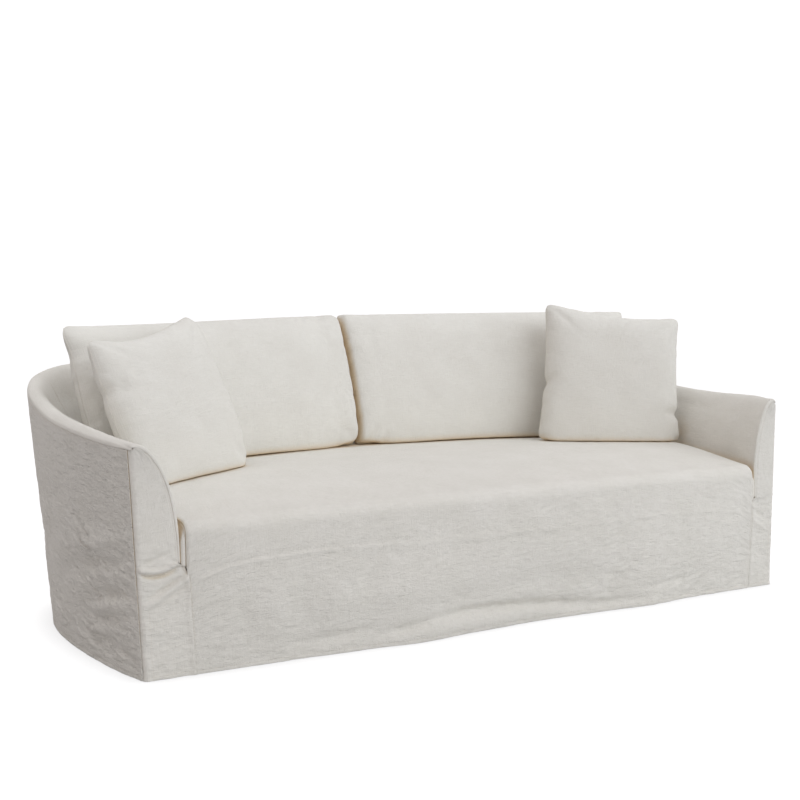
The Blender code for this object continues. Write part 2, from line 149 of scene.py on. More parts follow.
# Folds and creases of each panel: the middle as metres along the panel and up from its
# lower edge, half the length and half the width in metres, the slope in degrees, how
# far the ends bend away from the middle, and the height, negative for a trough.
Fold = namedtuple("Fold", "along up length width slope bend height")
CREASES = {
    # the pull from the notch and the swag below it
    "arm_front_left": (
        Fold(0.055, 0.305, 0.085, 0.0085, -5, 0.018, 0.0120),
        Fold(0.052, 0.288, 0.075, 0.0075, -5, 0.034, -0.0110),
        Fold(0.047, 0.340, 0.070, 0.0060, 8, 0.000, -0.0045),
        Fold(0.065, 0.252, 0.062, 0.0085, 24, 0.000, -0.0065),
        Fold(0.066, 0.236, 0.058, 0.0070, 26, 0.000, 0.0060),
        Fold(0.070, 0.219, 0.055, 0.0080, 29, 0.000, -0.0048),
        Fold(0.060, 0.150, 0.070, 0.0160, 15, 0.000, 0.0030),
        Fold(0.060, 0.090, 0.080, 0.0180, 8, 0.000, -0.0028),
        Fold(0.095, 0.500, 0.045, 0.0090, 60, 0.000, -0.0020),
    ),
    "arm_front_right": (
        Fold(0.055, 0.250, 0.060, 0.0100, -16, 0.000, -0.0040),
        Fold(0.050, 0.215, 0.055, 0.0090, -22, 0.000, 0.0032),
        Fold(0.050, 0.120, 0.060, 0.0140, -10, 0.000, -0.0030),
    ),
    "outside_arm_left": (
        Fold(0.120, 0.215, 0.110, 0.018, -8, 0.000, -0.0090),
        Fold(0.150, 0.175, 0.120, 0.015, -12, 0.000, 0.0075),
        Fold(0.110, 0.300, 0.090, 0.014, -14, 0.000, -0.0065),
        Fold(0.170, 0.345, 0.120, 0.016, -18, 0.000, 0.0060),
        Fold(0.220, 0.120, 0.140, 0.018, -14, 0.000, -0.0090),
        Fold(0.300, 0.150, 0.200, 0.030, -20, 0.000, -0.0130),
        Fold(0.360, 0.245, 0.170, 0.024, -17, 0.000, -0.0100),
        Fold(0.300, 0.330, 0.190, 0.022, -14, 0.000, 0.0080),
        Fold(0.720, 0.270, 0.220, 0.045, -16, 0.000, -0.0080),
        Fold(0.520, 0.080, 0.180, 0.034, -16, 0.000, 0.0080),
        Fold(0.200, 0.060, 0.140, 0.020, -6, 0.000, -0.0085),
        Fold(0.600, 0.400, 0.200, 0.030, -12, 0.000, -0.0060),
    ),
    "outside_arm_right": (
        Fold(0.420, 0.160, 0.200, 0.050, 20, 0.000, -0.0080),
        Fold(0.700, 0.300, 0.200, 0.040, 14, 0.000, -0.0070),
        Fold(0.980, 0.200, 0.150, 0.030, 18, 0.000, 0.0060),
    ),
    "outside_back": (
        Fold(0.700, 0.220, 0.260, 0.070, 10, 0.000, -0.0070),
        Fold(1.600, 0.310, 0.240, 0.070, -8, 0.000, -0.0060),
    ),
    # the line at the foot of the seat, long folds near the hem, broad hollows
    "seat_panel": (
        Fold(0.130, 0.294, 0.190, 0.0050, 0, 0.000, 0.0036),
        Fold(0.480, 0.292, 0.280, 0.0050, -1, 0.000, 0.0040),
        Fold(1.000, 0.279, 0.420, 0.0050, 0, 0.000, 0.0030),
        Fold(1.650, 0.283, 0.380, 0.0050, 0, 0.000, 0.0026),
        Fold(0.300, 0.304, 0.400, 0.0060, -1, 0.000, -0.0026),
        Fold(0.860, 0.105, 0.170, 0.030, 4, 0.000, -0.0070),
        Fold(1.220, 0.130, 0.210, 0.036, -5, 0.000, -0.0060),
        Fold(0.570, 0.150, 0.150, 0.040, 8, 0.000, 0.0055),
        Fold(0.440, 0.050, 0.120, 0.014, 3, 0.000, -0.0090),
        Fold(0.660, 0.046, 0.090, 0.013, 6, 0.000, -0.0120),
        Fold(0.930, 0.062, 0.190, 0.015, -1, 0.000, -0.0170),
        Fold(1.230, 0.042, 0.160, 0.014, -5, 0.000, -0.0150),
        Fold(1.470, 0.028, 0.110, 0.011, 0, 0.000, -0.0080),
        Fold(1.650, 0.065, 0.150, 0.012, 4, 0.000, -0.0055),
        Fold(0.980, 0.024, 0.300, 0.016, 0, 0.000, 0.0050),
        Fold(0.150, 0.160, 0.026, 0.090, 6, 0.000, -0.0052),
        Fold(0.245, 0.130, 0.036, 0.100, 4, 0.000, 0.0062),
        Fold(0.330, 0.190, 0.026, 0.090, 0, 0.000, -0.0050),
        Fold(0.420, 0.150, 0.034, 0.080, -4, 0.000, 0.0048),
        Fold(0.540, 0.190, 0.034, 0.080, 0, 0.000, -0.0046),
    ),
}


# ---- curves through the tables ----
def through(rows, column, place):
    """A smooth curve through one column of a table, at a fractional row."""
    last = len(rows) - 1
    row = min(max(int(math.floor(place)), 0), last - 1)
    share = place - row
    value = [getattr(rows[min(max(row + step, 0), last)], column) for step in (-1, 0, 1, 2)]
    if row == 0:
        value[0] = 2.0 * value[1] - value[2]
    if row == last - 1:
        value[3] = 2.0 * value[2] - value[1]
    return 0.5 * (
        2.0 * value[1]
        + (value[2] - value[0]) * share
        + (2.0 * value[0] - 5.0 * value[1] + 4.0 * value[2] - value[3]) * share ** 2
        + (3.0 * value[1] - value[0] - 3.0 * value[2] + value[3]) * share ** 3)


def mix(low, high, share):
    return low + (high - low) * share


def smooth(share):
    share = min(max(share, 0.0), 1.0)
    return share * share * (3.0 - 2.0 * share)


def bell(distance, width):
    """A hump of height 1 at distance 0."""
    return math.exp(-(distance / width) ** 2)


def even_shares(steps):
    """The even shares from 0 to 1."""
    return [step / steps for step in range(steps + 1)]


def lengths_along(points):
    """The metres from the first point of a line to each of its points."""
    return np.concatenate(([0.0], np.cumsum(np.linalg.norm(np.diff(points, axis=0), axis=1))))


def points_at(wanted, lengths, points):
    """The places on a line at the wanted metres from its first point."""
    return np.stack([np.interp(wanted, lengths, points[:, axis]) for axis in range(3)], axis=1)


def roll_off(radius, inset):
    """How far a rolled edge has fallen at a distance in from its rim."""
    left = max(radius - inset, 0.0)
    return radius - math.sqrt(max(radius ** 2 - left ** 2, 0.0))


def half_plan(place):
    """Side and section of a place along the whole plan, left front to right front."""
    return (-1.0, place) if place <= CENTRE else (1.0, 2.0 * CENTRE - place)


@lru_cache(maxsize=None)
def narrower(side, section):
    """How far the right side sits in from the plan in the table; the left sits on it."""
    return through(SECTIONS, "right_in", section) if side > 0 else 0.0


@lru_cache(maxsize=None)
def rail_point(side, section):
    """The seam along the outer edge of the rail."""
    column = "height_left" if side < 0 else "height_right"
    return Vector((
        side * (through(SECTIONS, "rail_x", section) - narrower(side, section)),
        FRONT_Y + through(SECTIONS, "rail_y", section),
        through(SECTIONS, column, section)))


@lru_cache(maxsize=None)
def hem_point(side, section):
    """The lower edge of the cover, below the rail's seam."""
    return Vector((
        side * (through(SECTIONS, "hem_x", section) - HEM_NARROWER * narrower(side, section)),
        FRONT_Y + through(SECTIONS, "hem_y", section), 0.0))


@lru_cache(maxsize=None)
def inward(side, section):
    """The plan direction from the rail towards the inside of the cover."""
    step = 0.05
    before = rail_point(side, max(section - step, 0.0))
    after = rail_point(side, min(section + step, CENTRE))
    if section > CENTRE - step:
        after = Vector((-side * step, before.y, 0.0))
    along = after - before
    normal = Vector((-along.y, along.x, 0.0)) * (1.0 if side > 0 else -1.0)
    return normal.normalized()


def plan_table():
    """Metres along the rail at each small step of the plan, from the left front."""
    places = np.linspace(0.0, 2.0 * CENTRE, 801)
    rail = np.array([rail_point(*half_plan(place)) for place in places])
    return places, lengths_along(rail[:, :2])


PLAN_PLACES, PLAN_LENGTHS = plan_table()
PLAN_LENGTH = float(PLAN_LENGTHS[-1])


def plan_place(metres):
    return float(np.interp(metres, PLAN_LENGTHS, PLAN_PLACES))


def plan_metres(place):
    return float(np.interp(place, PLAN_PLACES, PLAN_LENGTHS))


def place_from_front(side, metres):
    """The place at some metres along the rail from the front of the arm on a side."""
    return plan_place(metres if side < 0 else PLAN_LENGTH - metres)


# ---- lines up the panels: each gives points from the lower edge to the upper one ----
def outside_line(place):
    side, section = half_plan(place)
    hem = hem_point(side, section)
    rail = rail_point(side, section)
    top = (rail.z - SEAM_DROP - 0.5 * GAP) / rail.z
    return [hem.lerp(rail, top * share) for share in even_shares(40)]


def inside_line(place):
    """From the tuck up inside, over the rail and down to its seam outside."""
    side, section = half_plan(place)
    power = 2.0 / through(SECTIONS, "fullness", section)
    depth = through(SECTIONS, "reach", section) - narrower(side, section)
    crest = through(SECTIONS, "crest", section)
    rail = rail_point(side, section)
    line = []
    for share in even_shares(120):
        angle = 0.5 * math.pi * (1.0 - share)
        reach = depth * math.sin(angle) ** power
        fall = (rail.z - TUCK_HEIGHT) * (1.0 - max(math.cos(angle), 0.0) ** power)
        point = rail + inward(side, section) * reach
        point.z -= fall
        if reach < RAIL_ROLL:
            point.z += crest * math.sin(math.pi * reach / RAIL_ROLL)
        line.append(point)
    hem = hem_point(side, section)
    for share in even_shares(6)[1:]:
        line.append(rail.lerp(hem, (SEAM_DROP - 0.5 * GAP) * share / rail.z))
    return rounded(line, RAIL_EASE)


def rounded(line, radius):
    """The line with its corners eased, and its two ends where they were."""
    points = np.array(line)
    lengths = lengths_along(points)
    step = 0.002
    even = np.linspace(0.0, lengths[-1], max(int(lengths[-1] / step), 8))
    points = points_at(even, lengths, points)
    reach = int(3 * radius / step)
    weights = np.exp(-0.5 * (np.arange(-reach, reach + 1) * step / radius) ** 2)
    weights /= weights.sum()
    before = 2.0 * points[0] - points[reach:0:-1]
    after = 2.0 * points[-1] - points[-2:-reach - 2:-1]
    padded = np.concatenate((before, points, after))
    return np.stack([np.convolve(padded[:, axis], weights, "valid") for axis in range(3)], axis=1)


def front_lean(height):
    """How far the front of an arm stands back at a height."""
    front = SECTIONS[0]
    return front.rail_y * height / front.height_left


def seat_edge_height(distance):
    rise = SEAT_EDGE_RISE * smooth((distance + 0.13) / 0.55)
    return SEAT_FRONT_EDGE + rise - SEAT_EDGE_DROP * smooth((distance - 0.40) / 0.50)


def seat_top_height(across, distance):
    share = abs(across) / SEAT_HALF
    height = SEAT_CROWN * mix(SEAT_CROWN_FRONT, 1.0, smooth(distance / 0.4))
    return seat_edge_height(distance) + height * (1.0 - share ** 2.4)


def hem_forward(across):
    """How far the front hem stands before distance 0."""
    for before, after in zip(HEM_WAVES, HEM_WAVES[1:]):
        if across <= after.across:
            break
    share = (across - before.across) / (after.across - before.across)
    return mix(before.forward, after.forward, smooth(share))


def seat_line(across_share):
    """Hem, skirt, nose and seat top in one length of cloth."""
    side = mix(-1.0, 1.0, across_share)
    across = side * SEAT_HALF
    middle = 1.0 - abs(side) ** 8
    nose_height = seat_top_height(across, NOSE_RADIUS) - NOSE_RADIUS
    edge_drop = roll_off(SEAT_ROLL, SEAT_HALF - abs(across))
    line = []
    for share in even_shares(60):
        height = nose_height * share
        x = side * mix(SKIRT_HALF, SEAT_HALF, min(height / NOTCH_HEIGHT, 1.0))
        forward = mix(hem_forward(side), SKIRT_FORWARD * middle, smooth(share * 1.2))
        forward += SKIRT_BELLY * middle * math.sin(math.pi * smooth(share))
        back = edge_drop * smooth((height - NOTCH_HEIGHT + 0.004) / 0.012)
        line.append(Vector((x, FRONT_Y - forward + back, height)))
    for share in even_shares(16)[1:]:
        angle = 0.5 * math.pi * share
        distance = NOSE_RADIUS - (NOSE_RADIUS + SKIRT_FORWARD * middle) * math.cos(angle)
        height = nose_height + NOSE_RADIUS * math.sin(angle)
        line.append(Vector((
            across, FRONT_Y + distance + edge_drop * math.cos(angle),
            height - edge_drop * math.sin(angle))))
    back_edge = SEAT_DEPTH - SEAT_CORNER_CUT * (abs(across) / SEAT_HALF) ** 10
    for share in even_shares(60)[1:]:
        distance = mix(NOSE_RADIUS, back_edge, share)
        height = seat_top_height(across, distance) - edge_drop
        line.append(Vector((across, FRONT_Y + distance, height)))
    return rounded(line, SEAT_EASE)


@lru_cache(maxsize=None)
def arm_foot(side):
    """Distances from the front, and how far out the arm's inner wall stands at its foot."""
    feet = [inside_arm_line(side, 0.004 * step)[0] for step in range(200)]
    distances = [point[1] - FRONT_Y for point in feet]
    return np.maximum.accumulate(distances), [abs(point[0]) for point in feet]


def side_strip_line(side, distance):
    """Up the side of the seat, from the notch's level to the seat's rolled edge."""
    onward = distance - SEAT_ROLL
    low = NOTCH_HEIGHT + 0.5 * CLOTH + GAP
    top = seat_edge_height(max(distance, NOSE_RADIUS)) - SEAT_ROLL - GAP
    top -= roll_off(NOSE_RADIUS - SEAT_ROLL, onward)
    # the seat's side swells until it all but meets the arm, and forward at the opening
    room = float(np.interp(distance, *arm_foot(side))) - CLOTH - STRIP_CLEARANCE - SEAT_HALF
    swell = min(max(room, 0.0), STRIP_SWELL) * smooth(onward / 0.010)
    forward = STRIP_FORWARD * math.sin(math.pi * min(onward / 0.016, 1.0))
    line = []
    for share in even_shares(12):
        loose = 1.0 - smooth((share - 0.60) / 0.40)
        line.append(Vector((
            side * (SEAT_HALF + swell * loose), FRONT_Y + distance - forward * loose,
            mix(low, top, share))))
    return line


# ---- washed-in wrinkles ----
def fold_height(fold, along, up):
    """The height of one fold at metres along and up from its middle."""
    slope = math.radians(fold.slope)
    run = (along * math.cos(slope) + up * math.sin(slope)) / fold.length
    off = up * math.cos(slope) - along * math.sin(slope) - fold.bend * run * run
    return fold.height * math.exp(-run * run - (off / fold.width) ** 2)


def crease_height(panel, along, up):
    """The sum of the folds and creases of a panel at one place on it."""
    return sum(fold_height(fold, along - fold.along, up - fold.up)
               for fold in CREASES.get(panel, ()))


def waver(x, y, seed):
    """Smooth noise, about 0 on average."""
    return noise.noise(Vector((x, y, seed)))


def ridges(along, up, length, width, seed):
    """Soft ridges that wander along the cloth, about 0 on average, from -1 to 1."""
    wander = waver(along / 0.13, up / 0.09, seed + 40.0)
    x = along / length + 0.5 * wander
    y = up / width + 1.9 * wander
    first = 1.0 - abs(waver(x, y, seed))
    second = waver(x * 1.9, y * 1.7, seed + 9.0)
    return 2.2 * (first ** 3 - 0.62) + 0.45 * second


def wrinkle_height(kind, along, up, seed):
    """Washed-in wrinkles of a panel: mostly level ones with a few upright ones."""
    patch = waver(along / 0.22, up / 0.12, seed)
    strength = 0.25 + 1.35 * smooth(0.5 + 1.3 * patch)
    level = ridges(along, up, kind.length, 0.0150, seed)
    upright = ridges(up, along, 0.040, 0.022, seed + 5.0)
    drawn = ridges(along + 0.6 * up, up - 0.5 * along, 0.090, 0.030, seed + 7.0)
    swell = waver(along / 0.28, up / 0.20, seed + 3.0)
    total = (kind.level * level + kind.upright * upright) * strength
    return total + kind.drawn * drawn + kind.swell * swell


def pucker(distance, along, seed, height, reach=0.030):
    """Small puckers that run square to a seam and die out away from it."""
    fade = math.exp(-distance / reach) * smooth(distance / 0.005)
    return height * fade * waver(along / 0.011, distance / 0.05, seed)


def seam_height(distance):
    """A seam's valley at the panel's edge and the groove of its row of stitches."""
    groove = SEAM_GROOVE * bell(distance - STITCH_INSET, 0.0018)
    return -SEAM_VALLEY * bell(distance, 0.0030) - groove


def hem_height(distance):
    """The doubled cloth of the hem, with the groove of its row of stitches."""
    fold = HEM_FOLD * (1.0 - smooth((distance - HEM_DEPTH) / 0.003))
    return fold - HEM_GROOVE * bell(distance - HEM_STITCHES, 0.0016)


# ---- building the panels ----
# How wrinkled a cloth is: the length of its level wrinkles, and the heights of the level,
# the upright and the slanting ones and of the broad swell under them.
Wrinkles = namedtuple("Wrinkles", "length level upright drawn swell")
HEAVY = Wrinkles(0.050, 0.00095, 0.00060, 0.0007, 0.0020)
SLACK = Wrinkles(0.100, 0.00240, 0.00080, 0.0024, 0.0035)
MEDIUM = Wrinkles(0.060, 0.00055, 0.00035, 0.0008, 0.0018)
LIGHT = Wrinkles(0.060, 0.00018, 0.00012, 0.0003, 0.0010)

# The grid of each panel: the metres up it, its steps along and up in multiples of
# MESH_STEP, and whether the steps are finer at its end, its foot and its top.
Grid = namedtuple("Grid", "height along_step up_step fine_end fine_foot fine_top")
GRIDS = {
    "outside_arm": Grid(0.630, 1.1, 0.7, True, True, True),
    "outside_back": Grid(0.745, 1.5, 1.4, True, True, True),
    "inside_arm": Grid(0.420, 1.3, 0.9, True, False, True),
    "inside_back": Grid(0.560, 1.7, 1.2, True, False, True),
    "arm_front": Grid(0.660, 0.42, 0.42, True, True, True),
    "seat": Grid(0.520, 1.1, 0.7, True, True, False),
    "seat_side": Grid(0.110, 1.2, 0.8, False, False, True),
}

Cut = namedtuple("Cut", "width length area")
Panel = namedtuple("Panel", "points normals alongs ups cut")
PANELS = {}               # the finished panels by name, for the rows of stitches


def spaced(length, step, fine_start, fine_end):
    """Positions along a length, close together at the ends that need it."""
    start = list(EDGE_STEPS) if fine_start else [0.0]
    end = [length - d for d in reversed(EDGE_STEPS)] if fine_end else [length]
    room = end[0] - start[-1]
    count = max(int(round(room / step)), 2)
    between = [start[-1] + room * n / count for n in range(1, count)]
    return start + between + end


def grid(kind, breadth):
    """The positions along and up a panel."""
    plan = GRIDS[kind]
    return (spaced(breadth, plan.along_step * MESH_STEP, True, plan.fine_end),
            spaced(plan.height, plan.up_step * MESH_STEP, plan.fine_foot, plan.fine_top))


def at_metres(line, positions, nominal):
    """Points on a line at positions given for its nominal length."""
    points = np.array(line)
    lengths = lengths_along(points)
    wanted = np.array(positions)
    # measured from the nearer end, so that hems and seams keep their depth
    wanted = mix(wanted, lengths[-1] - (nominal - wanted), wanted / nominal)
    return points_at(np.clip(wanted, 0.0, lengths[-1]), lengths, points)


def new_mesh(name, places, edges, faces):
    mesh = bpy.data.meshes.new(name)
    mesh.from_pydata(places, edges, faces)
    mesh.update()
    return mesh


def add_object(name, data):
    thing = bpy.data.objects.new(name, data)
    bpy.context.scene.collection.objects.link(thing)
    return thing


def evaluated_mesh(thing):
    """A plain mesh of the object as its modifiers leave it."""
    graph = bpy.context.evaluated_depsgraph_get()
    return bpy.data.meshes.new_from_object(thing.evaluated_get(graph))


def grid_mesh(name, points):
    """A sheet of quads through a grid of points, columns first."""
    columns, rows = points.shape[:2]
    faces = []
    for column in range(columns - 1):
        for row in range(rows - 1):
            corner = column * rows + row
            faces.append((corner, corner + rows, corner + rows + 1, corner + 1))
    return new_mesh(name, points.reshape(-1, 3).tolist(), [], faces)


def of_vertices(mesh, what):
    """The vertices' places, named co, or their normals, named normal."""
    values = np.zeros(len(mesh.vertices) * 3)
    mesh.vertices.foreach_get(what, values)
    return values.reshape(-1, 3)


def set_places(mesh, places):
    mesh.vertices.foreach_set("co", np.asarray(places, dtype=np.float32).reshape(-1))
    mesh.update()


def look_outwards(mesh, hollow, outside):
    """Turn the faces to look away from the hollow, or towards it if not outside."""
    normals = of_vertices(mesh, "normal")
    away = of_vertices(mesh, "co") - np.array(hollow)
    if (float((normals * away).sum()) > 0.0) != outside:
        mesh.flip_normals()


def lay_cloth_map(mesh, alongs, ups):
    """The cloth's own map, in metres along and up the panel."""
    layer = mesh.uv_layers.new(name="cloth")
    vertex = np.zeros(len(mesh.loops), dtype=np.int32)
    mesh.loops.foreach_get("vertex_index", vertex)
    layer.data.foreach_set("uv", np.stack((alongs[vertex], ups[vertex]), axis=1).reshape(-1))


def ease_corners(points):
    """Round the upper outer corner at the front of each arm, on all its panels alike."""
    for side, radius in ((-1.0, 0.010), (1.0, 0.028)):
        corner = rail_point(side, 0.0)
        out = np.maximum(side * points[..., 0] - (abs(corner.x) - radius), 0.0)
        rise = np.maximum(points[..., 2] - (corner.z - radius), 0.0)
        behind = np.clip((points[..., 1] - corner.y) / 0.11, 0.0, 1.0)
        reach = np.hypot(out, rise) + 1e-9
        keep = (1.0 - np.maximum(out, rise) / reach) * (1.0 - behind * behind * (3.0 - 2.0 * behind))
        points[..., 0] -= side * out * keep
        points[..., 2] -= rise * keep
    return points


def measured_cut(columns, mesh):
    """The rectangle a smooth panel is cut from, its longest row by its longest column."""
    rows = np.linalg.norm(np.diff(columns, axis=0), axis=2).sum(axis=0)
    uprights = np.linalg.norm(np.diff(columns, axis=1), axis=2).sum(axis=1)
    area = sum(face.area for face in mesh.polygons)
    return Cut(float(rows.max()), float(uprights.max()), area)


def add_panel(name, line_at, alongs, ups, relief, hollow, outside, material):
    """A sewn panel: columns of points up the lines, then its relief and thickness.

    The cloth's face looks away from the hollow if it is outside, or else towards it.
    """
    columns = np.array([at_metres(line_at(along), ups, ups[-1]) for along in alongs])
    mesh = grid_mesh(name, ease_corners(columns))
    cut = measured_cut(columns, mesh)
    look_outwards(mesh, hollow, outside)
    grid_along = np.repeat(alongs, len(ups))
    grid_up = np.tile(ups, len(alongs))
    heights = np.array([relief(along, up) for along, up in zip(grid_along, grid_up)])
    set_places(mesh, of_vertices(mesh, "co") + of_vertices(mesh, "normal") * heights[:, None])
    lay_cloth_map(mesh, grid_along, grid_up)
    thing = finish_piece(name, mesh, material)
    solid = thing.modifiers.new("cloth thickness", "SOLIDIFY")
    solid.thickness = CLOTH
    solid.offset = 0.0
    shape = (len(alongs), len(ups), 3)
    points = of_vertices(mesh, "co").reshape(shape)
    normals = of_vertices(mesh, "normal").reshape(shape)
    PANELS[name] = Panel(points, normals, np.array(alongs), np.array(ups), cut)
    return thing


def finish_piece(name, mesh, material):
    mesh.materials.append(material)
    mesh.shade_smooth()
    return add_object(name + "_cloth", mesh)


def panel_relief(name, kind, alongs, ups, seams, seed, flush=None):
    """Creases, wrinkles, hem and seams of a panel; seams names its sewn edges.

    The seam of the flush edge is pressed open and leaves no valley.
    """
    width, height = alongs[-1], ups[-1]

    def relief(along, up):
        gaps = {
            "start": along - alongs[0], "end": width - along,
            "foot": up, "top": height - up,
        }
        nearest = min(gaps[edge] for edge in seams if edge != "foot")
        loose = smooth(nearest / 0.026) * mix(0.35, 1.0, smooth(up / 0.060))
        total = (wrinkle_height(kind, along, up, seed) + crease_height(name, along, up)) * loose
        for edge in seams:
            gap = gaps[edge]
            run = up if edge in ("start", "end") else along
            if edge == "foot":
                total += hem_height(gap) + pucker(gap, run, seed + 2.0, 0.0009)
            else:
                total += pucker(gap, run, seed + 2.0, 0.0007)
            if edge not in ("foot", flush):
                total += seam_height(gap)
        return total
    return relief


def outside_arm(name, side, seed, material):
    """The outside of an arm: slack cloth below, firmer above, and calmer to the back."""
    alongs, ups = grid("outside_arm", plan_metres(CORNER) - CORNER_GAP - EDGE_ROLL)

    def line_at(along):
        return outside_line(place_from_front(side, along + EDGE_ROLL))

    front = "start" if side < 0 else "end"
    slack = panel_relief(name, SLACK, alongs, ups, ALL_EDGES, seed, front)
    firm = panel_relief(name, HEAVY, alongs, ups, ALL_EDGES, seed, front)

    def relief(along, up):
        from_front = along if side < 0 else alongs[-1] - along
        calm = 1.0 - 0.55 * smooth((from_front - 0.20) / 0.20)
        return calm * mix(slack(along, up), firm(along, up), smooth((up - 0.30) / 0.25))

    return add_panel(name, line_at, alongs, ups, relief, UNDER_COVER, True, material)


def outside_back(name, seed, material):
    first = plan_metres(CORNER) + CORNER_GAP
    alongs, ups = grid("outside_back", PLAN_LENGTH - 2.0 * first)

    def line_at(along):
        return outside_line(plan_place(first + along))

    relief = panel_relief(name, MEDIUM, alongs, ups, ALL_EDGES, seed)
    return add_panel(name, line_at, alongs, ups, relief, UNDER_COVER, True, material)


# ---- the front edge of an arm ----
WRAP_LENGTH = WRAP + 0.5 * math.pi * LAP_ROLL


@lru_cache(maxsize=None)
def front_profile(side):
    """The inside panel's line at the very front, with its way in and its lap there."""
    points = inside_line(0.0 if side < 0 else 2.0 * CENTRE).copy()
    points[:, 1] = FRONT_Y + np.array([front_lean(z) for z in points[:, 2]])
    steps = np.gradient(points, axis=0)
    steps[:, 1] = 0.0
    steps /= np.linalg.norm(steps, axis=1)[:, None]
    into = np.stack((side * steps[:, 2], np.zeros(len(steps)), -side * steps[:, 0]), axis=1)
    outer = abs(rail_point(side, 0.0).x) - np.abs(points[:, 0])
    width = np.clip((outer - 0.006) / 0.030, 0.0, 1.0)
    low = np.array([smooth((z - TUCK_HEIGHT) / 0.140) for z in points[:, 2]])
    roll = mix(0.55, 1.0, width) * LAP_ROLL
    lap = (0.3 + 0.7 * width) * (0.15 + 0.85 * low)
    return points, into, roll, lap


def inside_arm_line(side, along):
    """Up the inside of an arm; at its front the line laps round onto the arm's front."""
    points, into, roll, lap = front_profile(side)
    if along < WRAP_LENGTH:
        if along < WRAP:
            depth = roll + lap * (WRAP - along)
            back = np.zeros(len(points))
        else:
            angle = (along - WRAP) / LAP_ROLL
            depth = roll * (1.0 - math.sin(angle))
            back = roll * (1.0 - math.cos(angle))
        moved = points + into * depth[:, None]
        moved[:, 1] += back
        return moved
    onward = along - WRAP_LENGTH
    line = inside_line(place_from_front(side, LAP_ROLL + onward)).copy()
    front = points[:, 1] + roll + onward
    hold = 1.0 - smooth(onward / 0.10)
    same = np.linspace(0.0, 1.0, len(line))
    front = np.interp(same, np.linspace(0.0, 1.0, len(front)), front)
    line[:, 1] = line[:, 1] * (1.0 - hold) + front * hold
    return line


def inside_arm(name, side, seed, material):
    rest, ups = grid("inside_arm", plan_metres(CORNER) - GAP - LAP_ROLL)
    wrap = [WRAP_LENGTH * share for share in even_shares(10)[:-1]]
    alongs = wrap + [WRAP_LENGTH + metres for metres in rest]

    def relief(along, up):
        top = ups[-1] - up
        back = alongs[-1] - along
        loose = smooth(top / 0.03) * smooth(back / 0.03) * smooth((along - 0.01) / 0.05)
        total = wrinkle_height(LIGHT, along, up, seed) * mix(0.2, 1.0, loose)
        total += seam_height(top) + seam_height(along) * 0.6
        total += pucker(along, up, seed, 0.0012, 0.018) + pucker(top, along, seed, 0.0009, 0.02)
        return total

    def line_at(along):
        return inside_arm_line(side, along)

    return add_panel(name, line_at, alongs, ups, relief, ABOVE_SEAT, False, material)


def inside_back(name, seed, material):
    first = plan_metres(CORNER) + GAP
    alongs, ups = grid("inside_back", PLAN_LENGTH - 2.0 * first)

    def line_at(along):
        return inside_line(plan_place(first + along))

    relief = panel_relief(name, LIGHT, alongs, ups, ("top",), seed)
    return add_panel(name, line_at, alongs, ups, relief, ABOVE_SEAT, False, material)


def arm_front(name, side, seed, material):
    """The front of an arm: its inner edge follows the lap, its outer edge rolls back."""
    points, into, roll, lap = front_profile(side)
    edge = points + into * (roll + lap * WRAP + GAP)[:, None]
    rail = rail_point(side, 0.0)
    hem = hem_point(side, 0.0)
    inner = []
    for share in even_shares(40):
        height = NOTCH_HEIGHT * share
        over = SKIRT_LAP * (1.0 - smooth((height - NOTCH_HEIGHT + 0.014) / 0.010))
        inner.append((mix(SKIRT_HALF, SEAT_HALF, share) + 0.0002 - over, height))
    for x, _, height in edge:
        outer_x = mix(abs(hem.x), abs(rail.x), height / rail.z)
        if height > inner[-1][1] and abs(x) < outer_x - 0.010:
            inner.append((abs(x), height))
    inner = np.array(inner)
    top_drop = inner[-1, 1] - (rail.z - SEAM_DROP - GAP)
    breadth = 0.120
    alongs, ups = grid("arm_front", breadth)

    def line_at(along):
        share = along / breadth
        line = []
        for x, height in inner:
            top = smooth((height - 0.50) / (inner[-1, 1] - 0.50))
            outer_x = mix(abs(hem.x), abs(rail.x), height / rail.z)
            across = mix(x, outer_x, share)
            z = height - top_drop * top * share
            back = roll_off(EDGE_ROLL, (outer_x - x) * (1.0 - share))
            # below the notch the inner edge comes forward to meet the skirt's edge
            at_skirt = 1.0 - smooth((z - NOTCH_HEIGHT + 0.026) / 0.020)
            beside = 1.0 - smooth((across - x) / 0.045)
            raised = (CLOTH + 0.0014) * (1.0 - smooth((across - x - SKIRT_LAP) / 0.012))
            lean = mix(front_lean(z), side * raised, at_skirt * beside)
            line.append((side * across, FRONT_Y + lean + back, z))
        return line

    def relief(along, up):
        outer = breadth - along
        from_left = outer if side < 0 else along
        taut = 1.0 - 0.65 * smooth((up - 0.33) / 0.08)
        total = taut * wrinkle_height(MEDIUM, along, up, seed)
        total += crease_height(name, from_left, up)
        total *= smooth(outer / 0.010) * smooth(along / 0.010)
        total += seam_height(along) + hem_height(up) + pucker(along, up, seed, 0.0009, 0.014)
        total += pucker(outer, up, seed + 4.0, 0.0012, 0.014)
        return total

    return add_panel(name, line_at, alongs, ups, relief, (side * 1.08, 0.3, 0.3), True, material)


